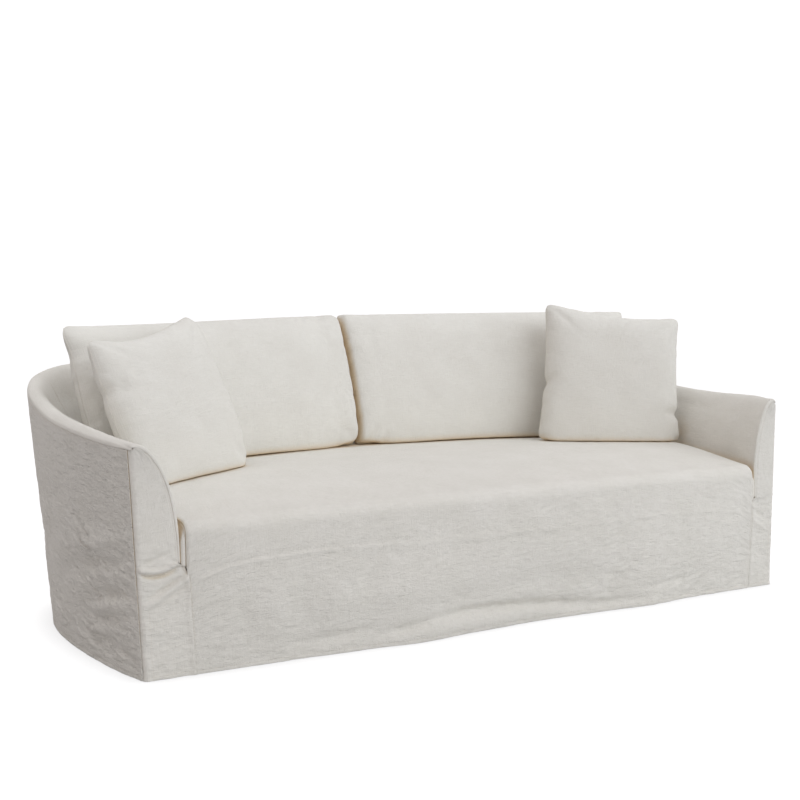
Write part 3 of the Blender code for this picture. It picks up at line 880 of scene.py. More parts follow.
def seat(name, seed, material):
    """Hem, skirt, nose and top of the seat: finely gridded on the skirt, coarser on top."""
    breadth = 2.0 * SEAT_HALF
    alongs, ups = grid("seat", breadth)
    ups += [ups[-1] + SEAT_TOP_STEP * n for n in range(1, SEAT_TOP_ROWS + 1)]
    wrinkled_from, wrinkled_to = 0.30, 0.46

    def line_at(along):
        return seat_line(along / breadth)

    def relief(along, up):
        edge = min(along, breadth - along)
        loose = smooth(edge / 0.04)
        calm = smooth((up - wrinkled_from) / (wrinkled_to - wrinkled_from))
        slack = 0.72 + 0.55 * smooth((along - 0.75) / 0.55)
        total = slack * wrinkle_height(HEAVY, along, up, seed) * (1.0 - calm)
        total += wrinkle_height(LIGHT, along, up, seed + 1.0) * calm
        total += crease_height(name, along, up)
        # fine pulls over the front edge
        pulled = smooth((up - 0.34) / 0.06) * (1.0 - smooth((up - 0.50) / 0.22))
        total += 0.0005 * pulled * ridges(
            up + 0.35 * along, along - 0.35 * up, 0.090, 0.022, seed + 8.0)
        total *= loose
        total += seam_height(edge) + hem_height(up)
        total += pucker(edge, up, seed + 2.0, 0.0009) + pucker(up, along, seed + 3.0, 0.0010)
        return total

    return add_panel(name, line_at, alongs, ups, relief, (0.0, 0.1, 0.15), True, material)


def seat_side(name, side, seed, material):
    first = SEAT_ROLL + 0.0015
    alongs, ups = grid("seat_side", SIDE_STRIP_DEPTH - first)

    def line_at(along):
        return side_strip_line(side, first + along)

    def relief(along, up):
        return 0.0006 * waver(along / 0.04, up / 0.03, seed)

    return add_panel(name, line_at, alongs, ups, relief, (0.0, 0.0, 0.35), True, material)


# ---- rows of stitches ----
STITCH_PITCH = 0.005
STITCH_LENGTH = 0.0036
STITCH_WIDTH = 0.0010
# A row of stitches: the start of the names of its panels, the edge it follows, how far in
# from that edge it runs, and the metres along the edge between which it runs.
Row = namedtuple("Row", "panels edge inset first last")
WHOLE = 9.0               # more metres than any edge is long
ROWS = (
    Row("outside_arm", "top", STITCH_INSET, 0.004, WHOLE),
    Row("outside_back", "top", STITCH_INSET, 0.0, WHOLE),
    Row("outside_back", "start", STITCH_INSET, 0.0, WHOLE),
    Row("outside_back", "end", STITCH_INSET, 0.0, WHOLE),
    Row("arm_front", "start", STITCH_INSET, 0.30, 0.62),
    Row("arm_front", "end", 0.020, 0.0, 0.200),
    Row("seat_panel", "start", 0.0045, 0.0, 1.05),
    Row("seat_panel", "end", 0.0045, 0.0, 1.05),
    Row("outside_arm", "foot", HEM_STITCHES, 0.0, WHOLE),
    Row("outside_back", "foot", HEM_STITCHES, 0.0, WHOLE),
    Row("arm_front", "foot", HEM_STITCHES, 0.006, WHOLE),
    Row("seat_panel", "foot", HEM_STITCHES, 0.0, WHOLE),
)


def row_points(row, panel):
    """Points on the outer face of a panel where a row of stitches runs."""
    across = row.edge in ("start", "end")
    inner = panel.alongs if across else panel.ups
    runs = panel.ups if across else panel.alongs
    at = row.inset if row.edge in ("start", "foot") else inner[-1] - row.inset
    onward = min(max(int(np.searchsorted(inner, at)), 1), len(inner) - 1)
    share = (at - inner[onward - 1]) / (inner[onward] - inner[onward - 1])
    face = panel.points + panel.normals * (0.5 * CLOTH)
    if not across:
        face = face.transpose(1, 0, 2)
    line = mix(face[onward - 1], face[onward], share)
    kept = (runs >= row.first) & (runs <= row.last)
    return line[kept]


def stitch_tree(material):
    """Geometry nodes that lay one stitch after another along the edges of a mesh."""
    tree = bpy.data.node_groups.new("stitches_along_seams", "GeometryNodeTree")
    sockets = tree.interface
    sockets.new_socket("Seams", in_out="INPUT", socket_type="NodeSocketGeometry")
    for name in ("Pitch", "Length", "Width"):
        sockets.new_socket(name, in_out="INPUT", socket_type="NodeSocketFloat")
    sockets.new_socket("Stitches", in_out="OUTPUT", socket_type="NodeSocketGeometry")
    given = add_node(tree, "NodeGroupInput").outputs
    curve = add_node(tree, "GeometryNodeMeshToCurve", {"Mesh": given["Seams"]})
    points = add_node(tree, "GeometryNodeCurveToPoints", {
        "Curve": curve.outputs["Curve"], "Length": given["Pitch"]}, mode="LENGTH")
    uneven = add_node(tree, "FunctionNodeRandomValue", {
        "Min": 0.85, "Max": 1.1, "Seed": 7}, data_type="FLOAT")
    length = add_node(tree, "ShaderNodeMath", {
        0: given["Length"], 1: uneven.outputs["Value"]}, operation="MULTIPLY")
    size = add_node(tree, "ShaderNodeCombineXYZ", {
        "X": given["Width"], "Y": given["Width"], "Z": length.outputs["Value"]})
    stitch = add_node(tree, "GeometryNodeMeshIcoSphere", {"Radius": 0.5, "Subdivisions": 1})
    placed = add_node(tree, "GeometryNodeInstanceOnPoints", {
        "Points": points.outputs["Points"], "Instance": stitch.outputs["Mesh"],
        "Rotation": points.outputs["Rotation"], "Scale": size.outputs["Vector"]})
    real = add_node(tree, "GeometryNodeRealizeInstances", {
        "Geometry": placed.outputs["Instances"]})
    painted = add_node(tree, "GeometryNodeSetMaterial", {
        "Geometry": real.outputs["Geometry"], "Material": material})
    add_node(tree, "NodeGroupOutput", {"Stitches": painted.outputs["Geometry"]})
    return tree


def sewn_stitches(material):
    """All rows of stitches of the cover as one plain mesh."""
    places, edges = [], []
    for row in ROWS:
        for panel in (PANELS[name] for name in PANELS if name.startswith(row.panels)):
            first = len(places)
            places.extend(row_points(row, panel).tolist())
            edges.extend((n, n + 1) for n in range(first, len(places) - 1))
    thing = add_object("stitches", new_mesh("seam_lines", places, edges, []))
    nodes = thing.modifiers.new("stitches", "NODES")
    nodes.node_group = stitch_tree(material)
    sizes = {"Pitch": STITCH_PITCH, "Length": STITCH_LENGTH, "Width": STITCH_WIDTH}
    for socket in nodes.node_group.interface.items_tree:
        if socket.in_out == "INPUT" and socket.name in sizes:
            nodes[socket.identifier] = sizes[socket.name]
    sewn = evaluated_mesh(thing)
    thing.modifiers.clear()
    thing.data = sewn
    return thing


# ---- cushions: a case sewn flat, then filled ----
# A cushion's case: its flat size and its grid, half its thickness when full, how round its
# sides and its ears are in section (lower is squarer), the radius of its corners, how far its
# top edge sags and where, how far its foot and its two ends draw in, all as shares of its
# height or width, which end is pressed against its neighbour, and its seed.
Case = namedtuple("Case", (
    "width height step half_thick fullness ear corner sag sag_at foot start end pressed seed"))
CASES = {
    "back_cushion_left": Case(
        1.120, 0.500, 0.0105, CUSHION_HALF_THICK, 0.62, 0.80, 0.036,
        0.026, 0.32, 0.004, 0.012, 0.000, "end", 3.0),
    "back_cushion_right": Case(
        1.120, 0.500, 0.0105, CUSHION_HALF_THICK, 0.62, 0.85, 0.018,
        0.006, 0.5, 0.004, 0.000, 0.016, "start", 4.0),
    "throw_pillow_left": Case(
        0.540, 0.520, 0.0090, PILLOW_HALF_THICK, 0.60, 0.80, 0.042,
        0.090, 0.36, 0.026, -0.020, 0.028, None, 8.0),
    "throw_pillow_right": Case(
        0.540, 0.520, 0.0090, PILLOW_HALF_THICK, 0.60, 0.84, 0.034,
        0.050, 0.55, 0.008, 0.030, 0.034, None, 9.0),
}
LEANT_ON = 0.6            # how much of its thickness the back of a cushion keeps
FIRMNESS = 0.65           # how far the filling evens out the case
CASE_LIFT = 0.010         # how far apart the faces of a case start
RELIEF_ROOM = 0.003       # thickness left free for a cushion's relief
UNDERSIDE_SAG = 0.042     # how far a cushion's underside sags before it meets the seat
UNDERSIDE_GAP = 0.0022    # from there to the seat's cloth
FRAMES = 12               # of the simulation that fills the cases
FILLING = {
    "quality": 5, "mass": 0.15, "tension_stiffness": 15.0, "compression_stiffness": 6.0,
    "shear_stiffness": 5.0, "bending_stiffness": 0.08, "air_damping": 2.0,
    "use_pressure": True, "uniform_pressure_force": 4.0,
}

# Where a cushion's side seam is nipped in: the side, the height, the width and the depth of
# the nip, as shares.
Pinch = namedtuple("Pinch", "edge up width depth")
PINCHES = {
    "back_cushion_left": (Pinch("start", 0.80, 0.060, 0.006),),
    "back_cushion_right": (),
    "throw_pillow_left": (
        Pinch("start", 0.62, 0.050, 0.014), Pinch("end", 0.13, 0.050, 0.022)),
    "throw_pillow_right": (
        Pinch("start", 0.41, 0.035, 0.020), Pinch("end", 0.21, 0.035, 0.024)),
}

# Dents and pulls on the front of a cushion: folds with the middle as shares across and up.
DENTS = {
    "throw_pillow_left": (
        Fold(0.055, 0.66, 0.050, 0.012, 70, 0.0, -0.008),
        Fold(0.100, 0.70, 0.045, 0.014, 60, 0.0, 0.005),
        Fold(0.130, 0.90, 0.070, 0.014, -35, 0.0, -0.005),
        Fold(0.860, 0.90, 0.080, 0.013, 40, 0.0, -0.005),
        Fold(0.880, 0.12, 0.060, 0.012, -40, 0.0, -0.005),
        Fold(0.120, 0.12, 0.060, 0.012, 40, 0.0, -0.005),
    ),
    "throw_pillow_right": (
        Fold(0.030, 0.45, 0.030, 0.010, 10, 0.0, -0.007),
        Fold(0.965, 0.22, 0.040, 0.012, -15, 0.0, -0.009),
        Fold(0.450, 0.92, 0.060, 0.009, 62, 0.0, -0.0030),
        Fold(0.560, 0.90, 0.070, 0.009, 55, 0.0, -0.0032),
        Fold(0.660, 0.91, 0.060, 0.009, 50, 0.0, -0.0030),
        Fold(0.120, 0.90, 0.060, 0.012, -42, 0.0, -0.0045),
        Fold(0.900, 0.90, 0.060, 0.012, 42, 0.0, -0.0045),
    ),
    "back_cushion_right": (
        Fold(0.050, 0.060, 0.050, 0.012, 50, 0.0, -0.008),
        Fold(0.090, 0.050, 0.040, 0.012, 75, 0.0, -0.006),
    ),
    "back_cushion_left": (
        Fold(0.960, 0.080, 0.050, 0.012, -40, 0.0, -0.005),
    ),
}


def sewn_case(name, case):
    """Two flat faces that share the vertices of their seam, a little apart inside."""
    columns = int(round(case.width / case.step))
    rows = int(round(case.height / case.step))

    def spot(column, row, face):
        """Which vertex this is; those of the seam belong to both faces."""
        rim = column in (0, columns) or row in (0, rows)
        return column, row, 1 if rim else face

    places, shares, faces, index = [], [], [], {}
    for face in (1, -1):
        for column in range(columns + 1):
            for row in range(rows + 1):
                if spot(column, row, face) in index:
                    continue
                index[spot(column, row, face)] = len(places)
                x = 2.0 * column / columns - 1.0
                y = 2.0 * row / rows - 1.0
                wobble = waver(4 * x, 4 * y, case.seed + face)
                lift = face * CASE_LIFT * (1.0 + 0.3 * wobble) * math.sqrt((1 - x * x) * (1 - y * y))
                places.append((0.5 * case.width * x, 0.5 * case.height * y, lift))
                shares.append((0.5 + 0.5 * x, 0.5 + 0.5 * y))
        for column in range(columns):
            for row in range(rows):
                ring = [index[spot(c, r, face)] for c, r in (
                    (column, row), (column + 1, row), (column + 1, row + 1), (column, row + 1))]
                faces.append(ring if face > 0 else ring[::-1])
    mesh = new_mesh(name, places, [], faces)
    shares = np.array(shares)
    lay_cloth_map(mesh, shares[:, 0] * case.width, shares[:, 1] * case.height)
    foot = [index[(c, 0, 1)] for c in range(columns + 1)]
    end = [index[(columns, r, 1)] for r in range(rows + 1)]
    top = [index[(c, rows, 1)] for c in range(columns + 1)]
    start = [index[(0, r, 1)] for r in range(rows + 1)]
    return add_object(name, mesh), shares, (foot, end, top, start)


def fill_cases(things):
    """Blow the sewn cases up together, with no weight, and keep the result."""
    scene = bpy.context.scene
    for thing in things:
        cloth = thing.modifiers.new("filling", "CLOTH")
        for setting, value in FILLING.items():
            setattr(cloth.settings, setting, value)
        cloth.settings.effector_weights.gravity = 0.0
        cloth.collision_settings.use_collision = False
        cloth.point_cache.frame_start = 1
        cloth.point_cache.frame_end = FRAMES
    for number in range(1, FRAMES + 1):
        scene.frame_set(number)
    for thing, filled in zip(things, [evaluated_mesh(thing) for thing in things]):
        thing.modifiers.clear()
        thing.data = filled
    scene.frame_set(1)


def eased(values, reach):
    """A row of values with its short waves taken out and its ends kept."""
    values = np.array(values)
    for _ in range(reach):
        values[1:-1] = 0.25 * values[:-2] + 0.5 * values[1:-1] + 0.25 * values[2:]
    return values


def outline_shares(places, shares, edges):
    """Each vertex's place between the opposite edges of the filled outline, 0 to 1."""
    foot, end, top, start = [np.array(edge) for edge in edges]
    limits = []
    for edge, share_axis, place_axis in ((start, 1, 0), (end, 1, 0), (foot, 0, 1), (top, 0, 1)):
        limits.append(np.interp(
            shares[:, share_axis], shares[edge, share_axis], eased(places[edge, place_axis], 12)))
    across = (places[:, 0] - limits[0]) / (limits[1] - limits[0])
    up = (places[:, 1] - limits[2]) / (limits[3] - limits[2])
    return across, up


def seam_sag(name, case, across, up):
    """Move the straight outline to how the seam of this cushion lies."""
    at = min(max(across, 0.0), 1.0)
    level = min(max(up, 0.0), 1.0)
    peak = math.log(0.5) / math.log(case.sag_at)
    top = case.sag * math.sin(math.pi * at ** peak)
    foot = case.foot * math.sin(math.pi * at)
    drawn = max(math.sin(math.pi * level), 0.0) ** 0.6
    nipped = {"start": case.start * drawn, "end": case.end * drawn}
    for pinch in PINCHES[name]:
        nipped[pinch.edge] += pinch.depth * bell(level - pinch.up, pinch.width)
    return mix(nipped["start"], 1.0 - nipped["end"], across), mix(foot, 1.0 - top, up)


def round_corner(case, across, up):
    """Draw a place near a corner of the outline in to a rounded corner."""
    x, y = 2.0 * across - 1.0, 2.0 * up - 1.0
    far_x = case.corner - 0.5 * case.width * (1.0 - abs(x))
    far_y = case.corner - 0.5 * case.height * (1.0 - abs(y))
    if far_x <= 0.0 or far_y <= 0.0:
        return across, up
    keep = 1.0 - max(far_x, far_y) / math.hypot(far_x, far_y)
    across -= math.copysign(far_x * keep / case.width, x)
    up -= math.copysign(far_y * keep / case.height, y)
    return across, up


def lean_point(side, across, up):
    """A point of the leaning surface in the middle of a back cushion."""
    rows = []
    for edge in (LEAN_FOOT, LEAN_TOP):
        x = edge.across * across
        back = edge.back - edge.bend * max(across, 0.0) ** edge.power
        rows.append(Vector((side * x, FRONT_Y + back, edge.height)))
    return rows[0].lerp(rows[1], up)


def back_cushion_place(side):
    """Where a place on a back cushion's case comes to lie when it leans on the back."""
    centre_gap = 0.0025
    foot_lift = 0.010
    step = 0.01

    def place(across, up, out):
        inner = mix(centre_gap, 1.0, across if side > 0 else 1.0 - across)
        point = lean_point(side, inner, up)
        sideways = lean_point(side, min(inner + step, 1.0), up) - lean_point(
            side, max(inner - step, 0.0), up)
        upward = lean_point(side, inner, up + step) - lean_point(side, inner, up - step)
        point += sideways.cross(upward).normalized() * side * out
        point.z += foot_lift * math.sin(math.pi * min(max(across, 0.0), 1.0)) * (1.0 - up)
        return point
    return place


def throw_pillow_place(corners):
    """Where a place on a throw pillow's case comes to lie between its four corners."""
    top_left, top_right, foot_right, foot_left = [
        Vector((x, FRONT_Y + y, z)) for x, y, z in corners]
    normal = (foot_right - foot_left).cross(top_left - foot_left).normalized()

    def place(across, up, out):
        top = top_left.lerp(top_right, across)
        foot = foot_left.lerp(foot_right, across)
        return foot.lerp(top, up) + normal * out
    return place


def rest_on_seat(point, across, up):
    """Let the underside of a cushion sag on to the seat and lie flat there."""
    from_end = min(across, 1.0 - across)
    point.z -= UNDERSIDE_SAG * (1.0 - smooth(up / 0.30)) * smooth(up / 0.03) * smooth(from_end / 0.16)
    seat = seat_top_height(min(abs(point.x), SEAT_HALF), point.y - FRONT_Y)
    point.z = max(point.z, seat + 0.5 * CLOTH + UNDERSIDE_GAP)
    return point


def dent_height(name, case, across, up):
    return sum(
        fold_height(dent, (across - dent.along) * case.width, (up - dent.up) * case.height)
        for dent in DENTS.get(name, ()))


def cushion_relief(name, case, across, up, front):
    """Dents, puckers square to the seam and the soft unevenness of the filling."""
    sides = (across * case.width, (1.0 - across) * case.width)
    ends = (up * case.height, (1.0 - up) * case.height)
    total = 0.0
    for gap, run in ((min(sides), up * case.height), (min(ends), across * case.width)):
        fold = waver(run / 0.016, gap / 0.07, case.seed + front)
        long_fold = waver(run / 0.040, gap / 0.12, case.seed + 5.0 + front)
        total += math.exp(-gap / 0.022) * 0.0008 * fold + math.exp(-gap / 0.05) * 0.0009 * long_fold
    x, y = across * case.width, up * case.height
    total += 0.0030 * waver(x / 0.16, y / 0.14, case.seed)
    total += 0.0010 * waver(x / 0.055, y / 0.045, case.seed + 7.0)
    if front > 0.0:
        total += dent_height(name, case, across, up)
    return total * smooth(min(sides + ends) / 0.008)


def seam_roll(mesh, rim, radius):
    """A thin roll of cloth along the seam, as its own rings on the same mesh."""
    edit = bmesh.new()
    edit.from_mesh(mesh)
    edit.verts.ensure_lookup_table()
    layer = edit.loops.layers.uv.verify()
    points = [edit.verts[number].co.copy() for number in rim]
    middle = sum(points, Vector()) / len(points)
    sides = 6
    rings, runs, run = [], [], 0.0
    for number, point in enumerate(points):
        ahead = points[(number + 1) % len(points)]
        along = (ahead - points[number - 1]).normalized()
        outward = (point - middle) - (point - middle).dot(along) * along
        outward.normalize()
        across = along.cross(outward)
        ring = []
        for turn in range(sides):
            angle = 2.0 * math.pi * turn / sides
            offset = outward * math.cos(angle) + across * math.sin(angle)
            ring.append(edit.verts.new(point + offset * radius))
        rings.append(ring)
        runs.append(run)
        run += (ahead - point).length
    runs.append(run)
    for number, ring in enumerate(rings):
        onward = rings[(number + 1) % len(rings)]
        for turn in range(sides):
            after = (turn + 1) % sides
            face = edit.faces.new((ring[turn], ring[after], onward[after], onward[turn]))
            face.smooth = True
            spots = ((number, turn), (number, turn + 1), (number + 1, turn + 1), (number + 1, turn))
            for loop, (at, around) in zip(face.loops, spots):
                loop[layer].uv = (runs[at], 0.0018 * around)
    edit.to_mesh(mesh)
    edit.free()


def filled_form(places, shares, edges, case):
    """Each vertex's shares across and up the outline, and how far it stands off the middle."""
    across, up = outline_shares(places, shares, edges)
    out = places[:, 2] / np.abs(places[:, 2]).max()
    # a firm filling takes out most of the wrinkles that the flat case was left with
    full = np.sqrt(np.clip((1.0 - (2.0 * shares[:, 0] - 1.0) ** 2)
                           * (1.0 - (2.0 * shares[:, 1] - 1.0) ** 2), 0.0, 1.0))
    out = mix(out, np.sign(out) * full, FIRMNESS)
    across = mix(across, shares[:, 0], FIRMNESS)
    up = mix(up, shares[:, 1], FIRMNESS)
    corner = np.clip(np.abs(2.0 * across - 1.0) * np.abs(2.0 * up - 1.0), 0.0, 1.0) ** 3
    level = case.fullness + 0.14 * (2.0 * np.clip(up, 0.0, 1.0) - 1.0)
    fullness = mix(level, case.ear, corner)
    if case.pressed:
        # the end against the other cushion is squared off
        gap = case.width * (across if case.pressed == "start" else 1.0 - across)
        fullness *= np.interp(gap, (0.0, 0.10), (0.42, 1.0))
    thick = (case.half_thick - RELIEF_ROOM) * np.where(out < 0.0, LEANT_ON, 1.0)
    return across, up, np.sign(out) * np.abs(out) ** fullness * thick


def set_cushion(name, thing, case, shares, edges, place, material):
    """Put a filled case where its solid is, smooth it and give it its seam."""
    mesh = thing.data
    places = []
    for across, up, out in zip(*filled_form(of_vertices(mesh, "co"), shares, edges, case)):
        sagged = seam_sag(name, case, *round_corner(case, across, up))
        front = 1.0 if out > 0.0 else -1.0
        point = place(*sagged, out + front * cushion_relief(name, case, across, up, front))
        places.append(rest_on_seat(point, across, up))
    set_places(mesh, places)
    edit = bmesh.new()
    edit.from_mesh(mesh)
    if edit.calc_volume(signed=True) < 0.0:
        bmesh.ops.reverse_faces(edit, faces=edit.faces)
    edit.to_mesh(mesh)
    edit.free()
    finer = thing.modifiers.new("finer", "SUBSURF")
    finer.levels = finer.render_levels = 1
    finer_mesh = evaluated_mesh(thing)
    bpy.data.objects.remove(thing, do_unlink=True)
    foot, end, top, start = edges
    rim = foot[:-1] + end[:-1] + top[:0:-1] + start[:0:-1]
    seam_roll(finer_mesh, rim, SEAM_RADIUS)
    return finish_piece(name, finer_mesh, material)


# ---- finishes ----
def colour(hex_code):
    """An sRGB hex colour as linear values with alpha."""
    values = [int(hex_code[start:start + 2], 16) / 255.0 for start in (1, 3, 5)]
    linear = [v / 12.92 if v <= 0.04045 else ((v + 0.055) / 1.055) ** 2.4 for v in values]
    return (*linear, 1.0)


def add_node(tree, kind, values=None, **settings):
    """A node with its settings, and its sockets set to values or linked to others."""
    made = tree.nodes.new(kind)
    for name, value in settings.items():
        setattr(made, name, value)
    for socket, value in (values or {}).items():
        if isinstance(value, bpy.types.NodeSocket):
            tree.links.new(value, made.inputs[socket])
        else:
            made.inputs[socket].default_value = value
    return made


def empty_tree(owner):
    """The node tree of a material or a world, with nothing in it."""
    owner.use_nodes = True
    owner.node_tree.nodes.clear()
    return owner.node_tree


COVER_CRUMPLE = 0.0042    # depth of the bumps of the cover's washed-in creases
CASE_CRUMPLE = 0.0016     # and of the cushions' cases, which their filling pulls tight
CRACKLE_SHARE = 0.32      # depth of the finer crumple, as a share of that
SLUB_DEPTH = 0.0009
THREAD_DEPTH = 0.0006
FILLED_CRUMPLE = 0.7      # how strongly the crumple shows on a filled case


def washed_linen(name, light, dark, crumple):
    """Heavy linen, plain weave, washed and not pressed: matt, with slubs and a soft crumple."""
    material = bpy.data.materials.new(name)
    tree = empty_tree(material)
    cloth = add_node(tree, "ShaderNodeUVMap", uv_map="cloth").outputs["UV"]
    # threads lie 1 mm apart; they are drawn 2.4 mm apart so that they show at all
    thread = 0.0024
    weave = []
    for direction in ("X", "Y"):
        weave.append(add_node(tree, "ShaderNodeTexWave", {
            "Vector": cloth, "Scale": 0.314 / thread, "Distortion": 1.2, "Detail": 2.0,
            "Detail Scale": 1.5}, wave_type="BANDS", bands_direction=direction).outputs["Fac"])
    threads = add_node(tree, "ShaderNodeMath", {0: weave[0], 1: weave[1]}, operation="MULTIPLY")
    # noise stretched along the cloth: slubs, which are thick stretches of thread about 2 mm
    # wide and 30 mm long, both ways; washed-in creases 15 mm wide and 40 mm long; and a
    # crumple 4 to 7 mm across
    stretched = []
    for stretch, detail, roughness, distortion in (
            ((34.0, 420.0, 1.0), 2.0, 0.50, 0.0), ((420.0, 34.0, 1.0), 2.0, 0.50, 0.0),
            ((24.0, 66.0, 1.0), 4.0, 0.55, 0.5), ((150.0, 240.0, 1.0), 3.0, 0.60, 0.5)):
        along = add_node(tree, "ShaderNodeMapping", {"Vector": cloth, "Scale": stretch})
        stretched.append(add_node(tree, "ShaderNodeTexNoise", {
            "Vector": along.outputs["Vector"], "Scale": 1.0, "Detail": detail,
            "Roughness": roughness, "Distortion": distortion}).outputs["Fac"])
    warp_slub, weft_slub, creases, crackle = stretched
    slubs = add_node(tree, "ShaderNodeMath", {0: warp_slub, 1: weft_slub}, operation="ADD")
    amount = add_node(tree, "ShaderNodeAttribute", attribute_name="crumple").outputs["Fac"]
    folds = add_node(tree, "ShaderNodeMath", {0: creases, 1: amount}, operation="MULTIPLY")
    crumples = add_node(tree, "ShaderNodeMath", {0: crackle, 1: amount}, operation="MULTIPLY")
    # clouds of lighter and darker cloth, a hand wide
    cloudy = add_node(tree, "ShaderNodeTexNoise", {"Vector": cloth, "Scale": 9.0, "Detail": 3.0})
    tone = add_node(tree, "ShaderNodeMath", {
        0: slubs.outputs["Value"], 1: cloudy.outputs["Fac"]}, operation="ADD")
    shade = add_node(tree, "ShaderNodeMapRange", {
        "Value": tone.outputs["Value"], "From Min": 1.0, "From Max": 2.0})
    tint = add_node(tree, "ShaderNodeMix", {
        "Factor": shade.outputs["Result"], "A": colour(dark), "B": colour(light)},
        data_type="RGBA")
    # painted shade: deep in the gaps the cloth's colour is multiplied by a warm tint, standing in for
    # the warmer light bounced between cream cloths; not near the floor
    open_sky = add_node(tree, "ShaderNodeAmbientOcclusion", {"Distance": 0.05}, samples=4)
    deep = add_node(tree, "ShaderNodeMapRange", {
        "Value": open_sky.outputs["AO"], "From Min": 0.70, "From Max": 0.05})
    place = add_node(tree, "ShaderNodeTexCoord").outputs["Object"]
    height = add_node(tree, "ShaderNodeSeparateXYZ", {"Vector": place}).outputs["Z"]
    raised = add_node(tree, "ShaderNodeMapRange", {
        "Value": height, "From Min": 0.02, "From Max": 0.14})
    painted_gap_shade = add_node(tree, "ShaderNodeMath", {
        0: deep.outputs["Result"], 1: raised.outputs["Result"]}, operation="MULTIPLY")
    # the painted shade darkens and warms the cloth's colour where the gaps are deep
    tint_with_painted_shade = add_node(tree, "ShaderNodeMix", {
        "Factor": painted_gap_shade.outputs["Value"], "A": tint.outputs["Result"], "B": colour("#FAE3C0")},
        data_type="RGBA", blend_type="MULTIPLY")
    normal = add_node(tree, "ShaderNodeBump", {
        "Height": folds.outputs["Value"], "Distance": crumple, "Strength": 1.0})
    for height, depth in ((crumples.outputs["Value"], CRACKLE_SHARE * crumple),
                          (slubs.outputs["Value"], SLUB_DEPTH),
                          (threads.outputs["Value"], THREAD_DEPTH)):
        normal = add_node(tree, "ShaderNodeBump", {
            "Height": height, "Distance": depth, "Normal": normal.outputs["Normal"]})
    shader = add_node(tree, "ShaderNodeBsdfPrincipled", {
        "Base Color": tint_with_painted_shade.outputs["Result"], "Roughness": 0.92,
        "Specular IOR Level": 0.25, "Sheen Weight": 0.12, "Sheen Roughness": 0.5,
        "Normal": normal.outputs["Normal"]})
    add_node(tree, "ShaderNodeOutputMaterial", {"Surface": shader.outputs["BSDF"]})
    return material


def sewing_thread():
    """Polyester sewing thread, spun: a soft gloss, and a twist that breaks up the light."""
    material = bpy.data.materials.new("sewing_thread")
    tree = empty_tree(material)
    place = add_node(tree, "ShaderNodeTexCoord").outputs["Object"]
    # the real twist is 0.3 mm; it is drawn at 0.8 mm so that it shows at all
    twist = add_node(tree, "ShaderNodeTexWave", {
        "Vector": place, "Scale": 0.314 / 0.0008, "Distortion": 1.0},
        wave_type="BANDS", bands_direction="DIAGONAL")
    uneven = add_node(tree, "ShaderNodeTexNoise", {"Vector": place, "Scale": 60.0, "Detail": 2.0})
    tint = add_node(tree, "ShaderNodeMix", {
        "Factor": uneven.outputs["Fac"], "A": colour("#CFC6B8"), "B": colour("#E6DFD3")},
        data_type="RGBA")
    normal = add_node(tree, "ShaderNodeBump", {
        "Height": twist.outputs["Fac"], "Distance": 0.0002, "Strength": 1.0})
    shader = add_node(tree, "ShaderNodeBsdfPrincipled", {
        "Base Color": tint.outputs["Result"], "Roughness": 0.55, "Specular IOR Level": 0.4,
        "Sheen Weight": 0.10, "Normal": normal.outputs["Normal"]})
    add_node(tree, "ShaderNodeOutputMaterial", {"Surface": shader.outputs["BSDF"]})
    return material


# ---- camera, floor and light ----
SUNNY = "#F0F8FF"         # the lamps: daylight, a little cooler than the cream cloth is warm
HAZE = "#FFF8F9"          # the light from all round
WORLD_LIGHT = 0.608       # strength of that light
WORLD_SEEN = 1.2          # and of what the camera sees of it

# The size is metres across, or degrees of sky for a far lamp; the spread is in degrees.
Lamp = namedtuple("Lamp", "name kind power aim place size spread")
LAMPS = (
    Lamp("key", "SUN", 0.97, (0.0, 0.0, 0.0), (0.8, -3.8, 1.85), 50.0, None),
    Lamp("fill", "AREA", 22.5, (0.4, 0.0, 0.4), (0.95, 0.45, 3.30), 2.4, 180.0),
    Lamp("corner", "AREA", 0.7, (-1.12, 0.14, 0.66), (-1.75, 0.20, 2.60), 0.9, 50.0),
    Lamp("board", "AREA", 14.0, (0.9, -0.4, 0.4), (2.7, -2.5, 0.9), 1.6, 180.0),
)


CAMERA_PLACE = (-2.5776, -3.5746 + FRONT_Y, 1.0884)
CAMERA_DOWN = 5.34        # degrees that the camera looks down
CAMERA_RIGHT = 31.79      # and to the right of straight ahead
FLOOR_SIZE = 120.0
FLOOR_DROP = 0.0015       # how far the floor lies below the hem


def add_camera():
    camera = bpy.data.cameras.new("camera")
    camera.sensor_width = 36.0
    camera.lens = 67.5
    thing = add_object("camera", camera)
    thing.location = CAMERA_PLACE
    thing.rotation_euler = (math.radians(90.0 - CAMERA_DOWN), 0.0, math.radians(-CAMERA_RIGHT))
    bpy.context.scene.camera = thing


def add_lamp(lamp):
    """A soft lamp, far away or near."""
    light = bpy.data.lights.new(lamp.name, lamp.kind)
    light.energy = lamp.power
    light.color = colour(SUNNY)[:3]
    if lamp.kind == "SUN":
        light.angle = math.radians(lamp.size)
    else:
        light.shape = "DISK"
        light.size = lamp.size
        light.spread = math.radians(lamp.spread)
    thing = add_object(lamp.name, light)
    thing.location = lamp.place
    aim = Vector(lamp.aim) - Vector(lamp.place)
    thing.rotation_euler = aim.to_track_quat("-Z", "Y").to_euler()


